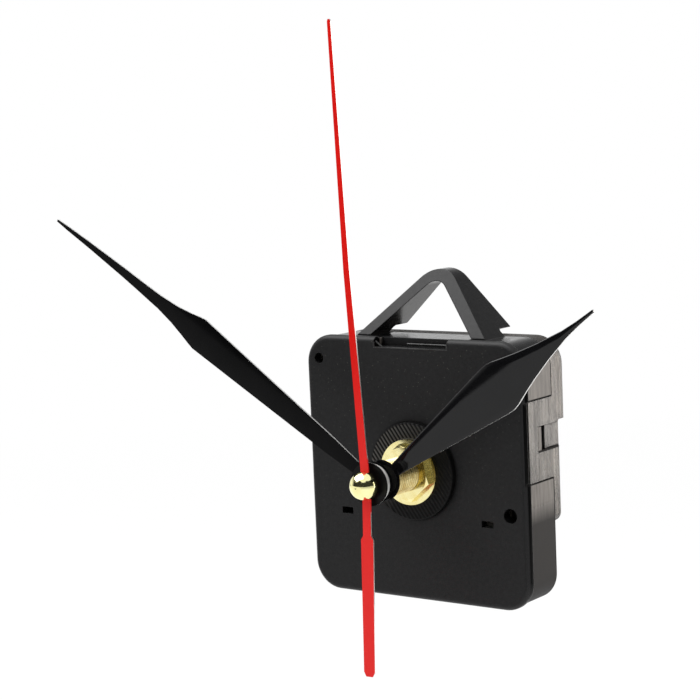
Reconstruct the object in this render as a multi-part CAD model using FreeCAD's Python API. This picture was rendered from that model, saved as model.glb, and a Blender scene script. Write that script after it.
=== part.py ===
import FreeCAD, Part
import math
import os

# Quartz clock movement with hands, in millimetres.
# The origin is on the hand axis, in the front face of the case. X points right as seen from the
# dial, Y points into the case, and Z points up. The dial side is therefore -Y.

# General clearances and helpers' sizes
overrun = 1.0
running_gap = 0.05
press_gap = 0.01
loose_gap = 0.15
degree = math.pi / 180

# Case
case_width = 56.0
case_above_axis = 28.65
case_below_axis = 28.6
case_depth = 12.0
top_corner_radius = 6.3
bottom_corner_radius = 6.4
lip_depth = 1.9
lip_fillet = 1.25
wall_inset = 0.35
side_wall = 1.2
top_wall = 1.2
bottom_wall = 1.05
front_wall = 1.3

# Battery bay, for one AA cell lying along X
cell_diameter = 14.5
cell_clearance = 0.4
divider_wall = 1.15
divider_notch_width = 0.85
divider_notch_depth = 5.8
divider_corner = 0.5
bay_corner_radius = 5.5
cradle_rib_width = 1.2
cradle_rib_height = 2.4
cradle_rib_spacing = 24.0

# Side bands where the cover's skirts lie
band_top = 16.0
band_bottom = -1.4
band_lip_cut = 0.45
skirt_thickness = 0.9
band_inner_wall = 1.1
latch_top = 10.3
latch_bottom = 4.95
latch_front = 5.9
latch_nub_length = 2.9
latch_nub_height = 0.95
latch_gap = 0.12
latch_window_length = 3.45
latch_recess = 0.45

# Pocket in the top front edge
pocket_half_width = 9.4
pocket_drop = 2.2
pocket_depth = 3.6
pocket_wall = 1.0

# Peg holes and contact slots in the front face
upper_peg_from_side = 3.63
upper_peg_from_top = 5.15
lower_peg_from_side = 4.1
lower_peg_height = -8.0
upper_peg_radius = 1.2
lower_peg_radius = 1.6
upper_peg_depth = 4.5
lower_peg_depth = 3.6
peg_boss_wall = 0.6
slot_from_side = 9.8
slot_height = -10.25
slot_width = 2.9
slot_tall = 1.5

# Hanger, a triangular loop whose front face leans back
hanger_half_base = 16.4
hanger_outer_slope = 1.0
hanger_outer_radius = 6.3
hanger_inner_half_base = 13.0
hanger_inner_slope = 1.03
hanger_inner_radius = 3.4
hanger_front = 4.1
hanger_crown_front = 13.1
hanger_rear = 16.7
hanger_root_inset = 0.2
hanger_tooth_gap = 1.3
hanger_lead = 0.4

# Rear cover
cover_rear = 17.5
cover_low_rear = 15.3
cover_step = 10.6
cover_floor_overlap = 0.3
cover_wall = 1.0
cover_edge_fillet = 1.1
cover_seat_gap = 0.05
cover_rim_depth = 1.2
cover_rim_thickness = 0.8
cover_foot_radius = 2.0
skirt_front = 2.3
skirt_gap = 0.1
knob_well_depth = 1.5

# Threaded bush and what is screwed on it
thread_radius = 3.9
bush_front = 11.6
bush_bore_radius = 2.56
bush_flange_radius = 5.2
bush_flange_thickness = 0.7
bush_chamfer = 0.5
rubber_radius = 10.6
rubber_thickness = 1.45
rubber_bore_gap = 0.2
rubber_chamfer = 0.25
washer_radius = 7.1
washer_thickness = 1.05
nut_across_flats = 11.0
nut_thickness = 1.5
nut_angle = 12.0
nut_corner_chamfer = 0.35

# Layers of the wheels, from the front wall to the rear
layer_gap = 0.4
hour_wheel_thickness = 1.0
minute_wheel_thickness = 0.8
pinion_overhang = 0.12
centre_wheel_thickness = 0.7
plate_thickness = 1.0
third_wheel_thickness = 0.6
second_wheel_thickness = 0.6
intermediate_wheel_thickness = 0.5
arbor_rear = 13.4

# Teeth of every wheel and pinion
cannon_teeth = 12
minute_wheel_teeth = 36
minute_pinion_teeth = 10
hour_wheel_teeth = 40
knob_teeth = 12
third_pinion_teeth = 8
centre_wheel_teeth = 64
second_pinion_teeth = 8
third_wheel_teeth = 60
intermediate_pinion_teeth = 8
second_wheel_teeth = 40
rotor_pinion_teeth = 6
intermediate_wheel_teeth = 36

# Arbor distances from one axis to the next, which set the modules of the gear pairs
minute_wheel_distance = 8.4
knob_distance = 8.4
third_wheel_distance = 9.18
intermediate_distance = 7.2
rotor_distance = 5.46

# Directions of the arbors, in degrees from +X towards +Z
minute_wheel_angle = 180.0
knob_angle = 215.0
third_wheel_angle = 110.0
intermediate_angle = -20.0
rotor_angle = 20.0

# Tooth form, as shares of the module and of the pitch
addendum_share = 0.9
pinion_addendum_share = 0.75
dedendum_share = 1.2
tooth_width_share = 0.43

# Arbors and pipes
second_arbor_radius = 0.5
second_arbor_front = 18.7
minute_pipe_radius = 1.75
minute_pipe_front = 17.2
minute_pipe_counterbore = 1.15
minute_pipe_counterbore_depth = 2.0
minute_hub_radius = 2.35
hour_pipe_radius = 2.5
hour_pipe_front = 13.0
centre_hub_radius = 3.3
post_radius = 0.8
arbor_radius = 0.6
pivot_radius = 0.3
pivot_length = 1.0
boss_radius = 1.05
plate_pillar_radius = 1.15
plate_peg_radius = 0.6
plate_peg_head = 0.5
wheel_window_radius = 1.1
clutch_slot_width = 0.6
clutch_slot_radius = 4.6
clutch_slot_angle = 95.0
clutch_slots = 3

# Setting knob
knob_stem_radius = 1.1
knob_radius = 4.9
knob_thickness = 2.2
knob_well_gap = 0.4
knob_lug_count = 18
knob_lug_depth = 0.35
knob_grip_width = 1.4
knob_grip_height = 0.9

# Motor
magnet_radius = 2.9
magnet_length = 1.7
stator_thickness = 0.8
stator_hole_radius = 3.3
stator_ring_radius = 4.3
stator_bridge_notch = 0.45
stator_arm_width = 2.8
coil_from_wall = 6.15
coil_bottom = 0.0
coil_length = 19.0
coil_flange = 6.8
coil_flange_thickness = 0.7
coil_barrel_radius = 1.95
coil_winding_radius = 3.0
core_width = 2.4
core_thickness = 1.0
core_reach = 3.6
core_peg_radius = 0.8
core_pillar_radius = 1.5

# Circuit board
board_length = 15.0
board_height = 5.75
board_from_wall = 1.45
board_from_divider = 0.6
board_front = 4.2
board_thickness = 0.8
board_post_radius = 0.9
crystal_radius = 1.0
crystal_length = 6.0
crystal_chamfer = 0.3
crystal_from_end = 1.4
crystal_from_top = 1.6
chip_from_end = 9.8
chip_from_top = 3.2
chip_radius = 2.0
chip_height = 0.9

# Battery contacts
contact_thickness = 0.3
contact_front = 4.4
contact_rear = 11.0
contact_strip_width = 2.4
contact_end_clearance = 0.1
contact_margin = 1.2
contact_below_cell_axis = 2.4
contact_bump_radius = 2.1
contact_bump_height = 0.5
contact_foot_length = 3.0
contact_foot_width = 2.4
leaf_radius = 3.2
leaf_reach = 2.4
leaf_height = 4.5

# Hands
hand_sheet = 0.4
hand_curve_radius = 19.0
hour_hand_length = 63.8
hour_hand_half_width = 5.5
hour_hand_plane = 12.3
hour_hand_angle = 54.2
hour_hub_radius = 4.4
hour_hub_rise = 0.6
minute_hand_length = 101.9
minute_hand_half_width = 3.9
minute_hand_plane = 15.15
minute_hand_angle = -57.2
minute_hub_radius = 4.4
minute_tip_bend = 68.0
minute_tip_lean = 1.5
minute_tip_spans = 3
collet_spigot_radius = 3.1
hour_collet_radius = 3.8
hour_collet_flange = 0.5
minute_collet_rise = 1.85
minute_collet_radius = 4.6
minute_collet_flange = 0.4
minute_collet_neck_radius = 4.1
second_hand_length = 96.3
second_hand_tail = 40.0
second_hand_angle = -2.0
second_hand_plane = 18.2
second_hand_sheet = 0.3
second_hand_root_half = 1.03
second_hand_tip_half = 0.42
second_tail_neck_half = 1.03
second_tail_half = 1.57
second_tail_end_half = 1.4
second_tail_neck_length = 10.6
second_hand_bend = 45.0
second_hand_lean = 1.4
second_tail_lean = 3.3
second_hub_flat = 3.0
second_tube_radius = 0.9
second_tube_length = 2.2
cap_radius = 3.08
cap_base = 0.5

# Outlines of the hands, as shares of the length from the axis and of the largest half width
hour_outline_shares = (
    (0.06, 0.245), (0.54, 0.982), (0.57, 1.0), (0.595, 0.945), (0.647, 0.755), (0.697, 0.59),
    (0.776, 0.365), (0.87, 0.155), (0.933, 0.086), (1.0, 0.055),
)
minute_outline_shares = (
    (0.04, 0.333), (0.137, 0.52), (0.2, 0.59), (0.54, 1.0), (0.555, 0.92), (0.58, 0.75),
    (0.618, 0.54), (0.667, 0.39), (0.736, 0.31), (0.887, 0.185), (0.964, 0.125), (1.0, 0.07),
)

# Levels worked out from the layers
hour_wheel_front = front_wall + bush_flange_thickness + layer_gap
minute_wheel_front = hour_wheel_front + hour_wheel_thickness + 1.25 * layer_gap
cannon_rear = minute_wheel_front + minute_wheel_thickness + pinion_overhang
centre_wheel_front = cannon_rear + 1.2 * layer_gap
centre_wheel_rear = centre_wheel_front + centre_wheel_thickness
plate_front = centre_wheel_rear + 2.5 * layer_gap
plate_rear = plate_front + plate_thickness
third_wheel_front = plate_rear + layer_gap
third_wheel_rear = third_wheel_front + third_wheel_thickness
second_wheel_front = third_wheel_rear + 2 * layer_gap
second_wheel_rear = second_wheel_front + second_wheel_thickness
intermediate_front = second_wheel_rear + 1.5 * layer_gap
intermediate_rear = intermediate_front + intermediate_wheel_thickness
cover_inner = cover_low_rear - cover_wall

# Walls worked out from the case
body_half = case_width / 2 - wall_inset
body_top = case_above_axis - wall_inset
body_bottom = -case_below_axis + wall_inset
chamber_half = body_half - side_wall
chamber_top = body_top - top_wall
bay_bottom = body_bottom + bottom_wall
bay_top = bay_bottom + cell_diameter + cell_clearance
chamber_bottom = bay_top + divider_wall
skirt_inner = body_half - skirt_thickness
band_wall = skirt_inner - skirt_gap
cover_bottom = chamber_bottom - cover_floor_overlap

# Places that follow the case's sides
upper_peg = (-case_width / 2 + upper_peg_from_side, case_above_axis - upper_peg_from_top)
lower_peg = (case_width / 2 - lower_peg_from_side, lower_peg_height)
slot_offset = case_width / 2 - slot_from_side
coil_x = chamber_half - coil_from_wall
board_right = chamber_half - board_from_wall
board_left = board_right - board_length
board_bottom = chamber_bottom + board_from_divider
board_top = board_bottom + board_height
crystal_x = board_left + crystal_from_end
crystal_z = board_top - crystal_from_top
chip_x = board_left + chip_from_end
chip_z = board_top - chip_from_top

# Fronts of the hour hand's hub and of the minute hand's collet
hour_hub_front = hour_hand_plane + hour_hub_rise
minute_collet_front = minute_hand_plane + minute_collet_rise


def polar(distance, angle, start=(0.0, 0.0)):
    """Return a point in the X-Z plane at a distance and an angle from another point."""
    return (
        start[0] + distance * math.cos(angle * degree),
        start[1] + distance * math.sin(angle * degree),
    )


minute_axis = polar(minute_wheel_distance, minute_wheel_angle)
knob_axis = polar(knob_distance, knob_angle, minute_axis)
third_axis = polar(third_wheel_distance, third_wheel_angle)
intermediate_axis = polar(intermediate_distance, intermediate_angle)
rotor_axis = polar(rotor_distance, rotor_angle, intermediate_axis)
centre_axis = (0.0, 0.0)

# Modules follow from the arbor distances and the tooth counts
cannon_module = 2 * minute_wheel_distance / (cannon_teeth + minute_wheel_teeth)
knob_module = 2 * knob_distance / (knob_teeth + minute_wheel_teeth)
hour_module = 2 * minute_wheel_distance / (minute_pinion_teeth + hour_wheel_teeth)
centre_module = 2 * third_wheel_distance / (third_pinion_teeth + centre_wheel_teeth)
third_module = 2 * third_wheel_distance / (second_pinion_teeth + third_wheel_teeth)
second_module = 2 * intermediate_distance / (intermediate_pinion_teeth + second_wheel_teeth)
rotor_module = 2 * rotor_distance / (rotor_pinion_teeth + intermediate_wheel_teeth)


def point(x, y, z):
    return FreeCAD.Vector(x, y, z)


def box(x_low, x_high, y_low, y_high, z_low, z_high):
    return Part.makeBox(x_high - x_low, y_high - y_low, z_high - z_low, point(x_low, y_low, z_low))


def rod(axis, radius, y_low, y_high):
    """Return a cylinder along Y about an axis given by its x and z."""
    return Part.makeCylinder(radius, y_high - y_low, point(axis[0], y_low, axis[1]), point(0, 1, 0))


def ring(axis, radius, bore, y_low, y_high):
    hole = rod(axis, bore, y_low - overrun, y_high + overrun)
    return rod(axis, radius, y_low, y_high).cut(hole)


def slab(outline, y_low, y_high):
    """Return an outline of x and z points, closed and extruded along Y."""
    corners = [point(x, y_low, z) for x, z in outline]
    corners.append(corners[0])
    face = Part.Face(Part.makePolygon(corners))
    return face.extrude(point(0, y_high - y_low, 0))


def rounded_slab(half_width, bottom, top, bottom_radius, top_radius, y_low, y_high):
    """Return a slab with rounded corners, drawn from straight lines and quarter circles."""
    corners = (
        (half_width - bottom_radius, bottom + bottom_radius, bottom_radius, -90),
        (half_width - top_radius, top - top_radius, top_radius, 0),
        (-half_width + top_radius, top - top_radius, top_radius, 90),
        (-half_width + bottom_radius, bottom + bottom_radius, bottom_radius, 180),
    )
    edges = []
    previous = None
    first = None
    for x, z, radius, start in corners:
        arc_points = []
        for step in (0, 45, 90):
            px, pz = polar(radius, start + step, (x, z))
            arc_points.append(point(px, y_low, pz))
        if previous is not None:
            edges.append(Part.makeLine(previous, arc_points[0]))
        else:
            first = arc_points[0]
        edges.append(Part.Arc(*arc_points).toShape())
        previous = arc_points[2]
    edges.append(Part.makeLine(previous, first))
    return Part.Face(Part.Wire(edges)).extrude(point(0, y_high - y_low, 0))


def mirrored(shape):
    """Return a copy on the other side of the plane X = 0."""
    return shape.mirror(point(0, 0, 0), point(1, 0, 0))


def joined(shapes):
    """Return one solid made of shapes that overlap or touch."""
    result = shapes[0]
    for shape in shapes[1:]:
        result = result.fuse(shape)
    return result.removeSplitter()


def cut_away(shape, tools):
    for tool in tools:
        shape = shape.cut(tool)
    return shape


def revolved(profile, axis=centre_axis):
    """Return a profile of radius and y points turned round an axis along Y."""
    corners = [point(axis[0] + radius, y, axis[1]) for radius, y in profile]
    corners.append(corners[0])
    face = Part.Face(Part.makePolygon(corners))
    return face.revolve(point(axis[0], 0, axis[1]), point(0, 1, 0), 360)


def circle_edges_at(shape, y):
    """Return the edges of a shape that lie wholly in the plane of one y."""
    found = []
    for edge in shape.Edges:
        box_of_edge = edge.BoundBox
        if abs(box_of_edge.YMin - y) < press_gap and abs(box_of_edge.YMax - y) < press_gap:
            found.append(edge)
    return found


def epicycloid_inset(pitch_radius, rolling_radius, height):
    """Return the angle by which a tooth flank leans in where it stands height above the pitch circle."""
    low = 0.0
    high = math.pi / 4
    centre_distance = pitch_radius + rolling_radius
    for _ in range(60):
        roll = (low + high) / 2
        x = centre_distance * math.cos(roll) - rolling_radius * math.cos(centre_distance / rolling_radius * roll)
        z = centre_distance * math.sin(roll) - rolling_radius * math.sin(centre_distance / rolling_radius * roll)
        if math.hypot(x, z) < pitch_radius + height:
            low = roll
        else:
            high = roll
    return math.atan2(z, x)


def toothed_outline(axis, teeth, mate_teeth, module, phase, addendum, flank_steps):
    """Return the outline of a cycloidal gear: radial flanks inside the pitch circle, and outside
    it the curve that a circle of half the mate's pitch radius traces when it rolls round."""
    pitch_radius = module * teeth / 2
    rolling_radius = module * mate_teeth / 4
    root_radius = pitch_radius - dedendum_share * module
    half_tooth = tooth_width_share * math.pi / teeth
    flank = [(root_radius, half_tooth), (pitch_radius, half_tooth)]
    for step in range(1, flank_steps + 1):
        height = addendum * module * step / flank_steps
        lean = epicycloid_inset(pitch_radius, rolling_radius, height)
        flank.append((pitch_radius + height, max(half_tooth - lean, half_tooth / 6)))
    outline = []
    for tooth in range(teeth):
        middle = phase * degree + 2 * math.pi * tooth / teeth
        for radius, offset in flank:
            angle = (middle - offset) / degree
            outline.append(polar(radius, angle, axis))
        for radius, offset in reversed(flank):
            angle = (middle + offset) / degree
            outline.append(polar(radius, angle, axis))
    return outline


def wheel(axis, teeth, mate_teeth, module, phase, y_low, y_high):
    outline = toothed_outline(axis, teeth, mate_teeth, module, phase, addendum_share, 1)
    return slab(outline, y_low, y_high)


def pinion(axis, teeth, mate_teeth, module, phase, y_low, y_high):
    outline = toothed_outline(axis, teeth, mate_teeth, module, phase, pinion_addendum_share, 2)
    return slab(outline, y_low, y_high)


def meshed_phase(phase, teeth, direction, mate_teeth):
    """Return the phase of a mate whose gap meets a tooth of the given gear on the line of axes.

    The direction runs from the given gear to its mate. All three are in degrees."""
    return direction + 180 - (phase - direction) * teeth / mate_teeth + 180 / mate_teeth


# Phases, so that every pair is in mesh at rest
minute_wheel_phase = 0.0
cannon_phase = meshed_phase(minute_wheel_phase, minute_wheel_teeth, minute_wheel_angle - 180, cannon_teeth)
knob_phase = meshed_phase(minute_wheel_phase, minute_wheel_teeth, knob_angle, knob_teeth)
minute_pinion_phase = 0.0
hour_wheel_phase = meshed_phase(
    minute_pinion_phase, minute_pinion_teeth, minute_wheel_angle - 180, hour_wheel_teeth
)
centre_wheel_phase = 0.0
third_pinion_phase = meshed_phase(
    centre_wheel_phase, centre_wheel_teeth, third_wheel_angle, third_pinion_teeth
)
second_pinion_phase = 0.0
third_wheel_phase = meshed_phase(
    second_pinion_phase, second_pinion_teeth, third_wheel_angle, third_wheel_teeth
)
second_wheel_phase = 0.0
intermediate_pinion_phase = meshed_phase(
    second_wheel_phase, second_wheel_teeth, intermediate_angle, intermediate_pinion_teeth
)
intermediate_wheel_phase = 0.0
rotor_pinion_phase = meshed_phase(
    intermediate_wheel_phase, intermediate_wheel_teeth, rotor_angle, rotor_pinion_teeth
)

# Places of the pillars that carry the middle plate and the coil core
plate_pillars = (
    (-chamber_half + 3.2 * plate_pillar_radius, chamber_bottom + 2.2 * plate_pillar_radius),
    (-chamber_half + 3.2 * plate_pillar_radius, band_top),
    (-pocket_half_width - 3 * plate_pillar_radius, chamber_top - 2.2 * plate_pillar_radius),
    (pocket_half_width + 3 * plate_pillar_radius, chamber_top - 2.2 * plate_pillar_radius),
    (board_left - 1.7 * plate_pillar_radius, chamber_bottom + 1.65 * plate_pillar_radius),
)
core_low = coil_bottom - core_reach
core_high = coil_bottom + coil_length + core_reach
core_pegs = (
    (coil_x, core_low + core_width / 2),
    (coil_x, core_high - core_width / 2),
)
stator_front = plate_rear + 2.5 * layer_gap
stator_rear = stator_front + stator_thickness
core_rear = stator_rear + core_thickness
coil_centre = stator_rear + core_thickness / 2
board_rear = board_front + board_thickness
board_posts = (
    (board_left + 2 * board_post_radius, board_bottom + 2 * board_post_radius),
    (board_right - 3 * board_post_radius, board_top - 1.5 * board_post_radius),
)


def hanger_profile(half_base, slope, radius, base, reach):
    """Return a triangle with a rounded apex, open downwards to base, extruded through reach in Y."""
    apex = case_above_axis + half_base / slope
    tilt = math.atan(slope)
    centre = apex - radius / math.sin(tilt)
    tangent_x = radius * math.cos(tilt)
    tangent_z = centre + radius * math.sin(tilt)
    foot = half_base + slope * (case_above_axis - base)
    left = point(-foot, reach[0], base)
    right = point(foot, reach[0], base)
    left_tangent = point(-tangent_x, reach[0], tangent_z)
    right_tangent = point(tangent_x, reach[0], tangent_z)
    crown = point(0, reach[0], centre + radius)
    edges = (
        Part.makeLine(left, left_tangent),
        Part.Arc(left_tangent, crown, right_tangent).toShape(),
        Part.makeLine(right_tangent, right),
        Part.makeLine(right, left),
    )
    return Part.Face(Part.Wire(edges)).extrude(point(0, reach[1] - reach[0], 0))


def make_hanger():
    """Return the loop: two nested triangles, cut to the side profile with its leaning front."""
    reach = (0.0, hanger_rear + overrun)
    root = body_top - top_wall / 2
    outer = hanger_profile(hanger_half_base, hanger_outer_slope, hanger_outer_radius, root, reach)
    opening = hanger_profile(
        hanger_inner_half_base, hanger_inner_slope, hanger_inner_radius,
        root - overrun, (reach[0] - overrun, reach[1] + overrun),
    )
    loop = outer.cut(opening)
    crown = outer.BoundBox.ZMax
    lean = (hanger_crown_front - hanger_front) / (crown - case_above_axis)
    top = crown + overrun
    tooth = body_top + hanger_tooth_gap + hanger_lead / 2
    hanger_root = case_depth - hanger_root_inset
    side = (
        (hanger_front, root),
        (hanger_front, case_above_axis),
        (hanger_crown_front + lean * overrun, top),
        (hanger_rear, top),
        (hanger_rear, tooth + hanger_lead / 2),
        (hanger_rear - hanger_lead / 2, tooth),
        (hanger_root + hanger_lead, tooth),
        (hanger_root, tooth - hanger_lead),
        (hanger_root, root),
    )
    span = 2 * hanger_half_base + 2 * overrun
    corners = [point(-span / 2, y, z) for y, z in side]
    corners.append(corners[0])
    wedge = Part.Face(Part.makePolygon(corners)).extrude(point(span, 0, 0))
    return loop.common(wedge)


def make_latch_nub():
    """Return the ramped nub on the right wall that holds the skirt."""
    rear = latch_front + latch_nub_length
    profile = (
        (band_wall - band_inner_wall / 2, latch_front + latch_gap),
        (band_wall + latch_nub_height, latch_front + latch_gap),
        (band_wall + latch_nub_height, latch_front + latch_nub_length / 2),
        (band_wall, rear),
        (band_wall - band_inner_wall / 2, rear),
    )
    corners = [point(x, y, latch_bottom + latch_gap) for x, y in profile]
    corners.append(corners[0])
    height = latch_top - latch_bottom - 2 * latch_gap
    return Part.Face(Part.makePolygon(corners)).extrude(point(0, 0, height))


def make_front_case():
    lip = rounded_slab(
        case_width / 2, -case_below_axis, case_above_axis,
        bottom_corner_radius, top_corner_radius, 0.0, lip_depth,
    )
    lip = lip.makeFillet(lip_fillet, circle_edges_at(lip, 0.0))
    body = rounded_slab(
        body_half, body_bottom, body_top,
        bottom_corner_radius - wall_inset, top_corner_radius - wall_inset, lip_fillet, case_depth,
    )
    case = lip.fuse(body)
    rear = case_depth + overrun
    chamber = rounded_slab(
        chamber_half, chamber_bottom, chamber_top, divider_corner, top_corner_radius - side_wall,
        front_wall, rear,
    )
    bay = rounded_slab(
        chamber_half, bay_bottom, bay_top, bay_corner_radius, divider_corner, front_wall, rear,
    )
    case = case.cut(chamber).cut(bay)
    added = [
        box(band_wall - band_inner_wall, band_wall, front_wall, case_depth,
            band_bottom - band_inner_wall, band_top + band_inner_wall),
    ]
    added.append(mirrored(added[0]))
    added.append(box(
        -pocket_half_width - pocket_wall, pocket_half_width + pocket_wall,
        front_wall, pocket_depth + pocket_wall,
        case_above_axis - pocket_drop - pocket_wall, chamber_top,
    ))
    added.append(rod(upper_peg, upper_peg_radius + peg_boss_wall, front_wall, upper_peg_depth + peg_boss_wall))
    added.append(rod(lower_peg, lower_peg_radius + peg_boss_wall, front_wall, board_front))
    for pillar in plate_pillars:
        added.append(rod(pillar, plate_pillar_radius, front_wall, plate_front))
        added.append(rod(pillar, plate_peg_radius, plate_front, plate_rear + plate_peg_head))
    for pillar in core_pegs:
        added.append(rod(pillar, core_pillar_radius, front_wall, stator_front))
        added.append(rod(pillar, core_peg_radius, stator_front, core_rear + plate_peg_head))
    for post in board_posts:
        added.append(rod(post, board_post_radius, front_wall, board_front))
    added.append(rod(minute_axis, post_radius, front_wall, cannon_rear))
    added.append(rod(minute_axis, 1.6 * post_radius, front_wall, hour_wheel_front - layer_gap / 2))
    added.append(rod(third_axis, boss_radius, front_wall, centre_wheel_front - layer_gap))
    added.append(rod(knob_axis, boss_radius, front_wall, minute_wheel_front - layer_gap))
    for side in (-1, 1):
        middle = side * cradle_rib_spacing / 2
        rib = box(
            middle - cradle_rib_width / 2, middle + cradle_rib_width / 2,
            front_wall, front_wall + cell_diameter / 2,
            bay_bottom, bay_top,
        )
        cell = Part.makeCylinder(
            (cell_diameter + cell_clearance) / 2, case_width,
            point(-case_width / 2, front_wall + (cell_diameter + cell_clearance) / 2, (bay_bottom + bay_top) / 2),
            point(1, 0, 0),
        )
        floor = box(
            middle - cradle_rib_width, middle + cradle_rib_width,
            front_wall, front_wall + cradle_rib_height, bay_bottom, bay_top,
        )
        added.append(rib.cut(cell).common(floor))
    case = joined([case] + added)

    # The side bands are cut back for the skirts, and the lip in front of them is a little shallower
    band = box(
        band_wall, case_width, lip_depth, rear, band_bottom, band_top,
    )
    lip_band = box(
        case_width / 2 - band_lip_cut, case_width, -overrun, lip_depth, band_bottom, band_top,
    )
    tools = [band, mirrored(band), lip_band, mirrored(lip_band)]
    tools.append(box(
        -pocket_half_width, pocket_half_width, -overrun, pocket_depth,
        case_above_axis - pocket_drop, case_above_axis + overrun,
    ))
    tools.append(rod(upper_peg, upper_peg_radius, -overrun, upper_peg_depth))
    tools.append(rod(lower_peg, lower_peg_radius, -overrun, lower_peg_depth))
    for side in (-1, 1):
        tools.append(box(
            side * slot_offset - slot_width / 2, side * slot_offset + slot_width / 2,
            -overrun, front_wall + running_gap,
            slot_height - slot_tall / 2, slot_height + slot_tall / 2,
        ))
        notch_middle = side * (chamber_half - divider_notch_width / 2)
        tools.append(box(
            notch_middle - divider_notch_width / 2, notch_middle + divider_notch_width / 2,
            front_wall, front_wall + divider_notch_depth,
            bay_top - overrun, chamber_bottom + overrun,
        ))
    tools.append(rod(centre_axis, thread_radius + press_gap, -overrun, front_wall + overrun))
    pivot_hole = pivot_radius + running_gap
    tools.append(rod(third_axis, pivot_hole, front_wall + layer_gap, centre_wheel_front))
    tools.append(rod(knob_axis, 2 * pivot_radius + running_gap, front_wall + layer_gap, minute_wheel_front))
    case = cut_away(case, tools)
    return joined([case, make_hanger(), make_latch_nub(), mirrored(make_latch_nub())])


def make_cover_shell(inset, front, rear_inset):
    """Return the outer form of the cover, or its hollow when an inset is given."""
    top_radius = top_corner_radius - wall_inset - inset
    foot_radius = max(cover_foot_radius - inset, press_gap * 10)
    form = rounded_slab(
        body_half - inset, cover_bottom + inset, body_top - inset,
        foot_radius, top_radius, front, cover_rear - rear_inset,
    )
    step_top = cover_step + inset
    lower = box(
        -case_width, case_width, cover_low_rear - rear_inset, cover_rear + overrun,
        cover_bottom - overrun, step_top,
    )
    return form.cut(lower)


def make_rear_cover():
    seat = case_depth + cover_seat_gap
    shell = make_cover_shell(0.0, seat, 0.0)
    rear_edges = circle_edges_at(shell, cover_rear) + circle_edges_at(shell, cover_low_rear)
    outline_edges = []
    for edge in rear_edges:
        middle = edge.CenterOfMass
        if abs(middle.z - cover_step) > press_gap:
            outline_edges.append(edge)
    shell = shell.makeFillet(cover_edge_fillet, outline_edges)
    hollow = make_cover_shell(cover_wall, seat - overrun, cover_wall)
    cover = shell.cut(hollow)

    rim_half = chamber_half - loose_gap
    rim = rounded_slab(
        rim_half, chamber_bottom + loose_gap, chamber_top - loose_gap, side_wall,
        top_corner_radius - side_wall, case_depth - cover_rim_depth, seat + cover_wall,
    )
    rim_hollow = rounded_slab(
        rim_half - cover_rim_thickness, chamber_bottom + loose_gap + cover_rim_thickness,
        chamber_top - loose_gap - cover_rim_thickness, side_wall,
        top_corner_radius - side_wall - cover_rim_thickness,
        case_depth - cover_rim_depth - overrun, seat + cover_wall + overrun,
    )
    rim = rim.cut(rim_hollow)
    band_clear = box(
        band_wall - band_inner_wall - loose_gap, case_width, -overrun, seat,
        band_bottom - band_inner_wall - loose_gap, band_top + band_inner_wall + loose_gap,
    )
    rim = rim.cut(band_clear).cut(mirrored(band_clear))
    skirt = box(
        skirt_inner, body_half, skirt_front, seat + cover_wall,
        band_bottom + skirt_gap, band_top - skirt_gap,
    )
    well_front = cover_low_rear - knob_well_depth - cover_wall
    well = rod(knob_axis, knob_radius + knob_well_gap + cover_wall, well_front, cover_low_rear - cover_wall / 2)
    pieces = [cover, rim, skirt, mirrored(skirt), well]
    for axis in (centre_axis, third_axis, intermediate_axis, rotor_axis):
        pieces.append(rod(axis, boss_radius, arbor_rear - pivot_length, cover_inner + cover_wall / 2))
    cover = joined(pieces)

    window_rear = latch_front + latch_window_length
    window = box(skirt_inner - overrun / 2, case_width, latch_front, window_rear, latch_bottom, latch_top)
    recess = box(
        body_half - latch_recess, case_width, latch_front, cover_rear + overrun, latch_bottom, latch_top,
    )
    tools = [window, mirrored(window), recess, mirrored(recess)]
    tools.append(rod(
        knob_axis, knob_radius + knob_well_gap, cover_low_rear - knob_well_depth, cover_rear + overrun,
    ))
    tools.append(rod(knob_axis, knob_stem_radius + running_gap, well_front - overrun, cover_rear))
    tools.append(rod(centre_axis, second_arbor_radius + running_gap, case_depth, arbor_rear + running_gap))
    for axis in (third_axis, intermediate_axis, rotor_axis):
        tools.append(rod(axis, pivot_radius + running_gap, case_depth, arbor_rear + running_gap))
    return cut_away(cover, tools)


def make_threaded_bush():
    profile = (
        (bush_bore_radius, -bush_front),
        (thread_radius - bush_chamfer, -bush_front),
        (thread_radius, -bush_front + bush_chamfer),
        (thread_radius, front_wall),
        (bush_flange_radius, front_wall),
        (bush_flange_radius, front_wall + bush_flange_thickness),
        (bush_bore_radius, front_wall + bush_flange_thickness),
    )
    return revolved(profile)


def make_rubber_washer():
    washer = ring(centre_axis, rubber_radius, thread_radius + rubber_bore_gap, -rubber_thickness, 0.0)
    rims = []
    for edge in circle_edges_at(washer, -rubber_thickness):
        if edge.BoundBox.XLength > 2 * washer_radius:
            rims.append(edge)
    return washer.makeChamfer(rubber_chamfer, rims)


def make_brass_washer():
    rear = -rubber_thickness
    return ring(centre_axis, washer_radius, thread_radius + press_gap, rear - washer_thickness, rear)


def make_hex_nut():
    rear = -rubber_thickness - washer_thickness
    front = rear - nut_thickness
    corner = nut_across_flats / math.sqrt(3)
    outline = [polar(corner, nut_angle + 30 + 60 * side) for side in range(6)]
    chamfer_height = nut_corner_chamfer
    chamfer = revolved((
        (0.0, front),
        (corner - 2 * chamfer_height, front),
        (corner, front + chamfer_height),
        (corner, rear),
        (0.0, rear),
    ))
    nut = slab(outline, front, rear).common(chamfer)
    return nut.cut(rod(centre_axis, thread_radius + press_gap, front - overrun, rear + overrun))


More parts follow.
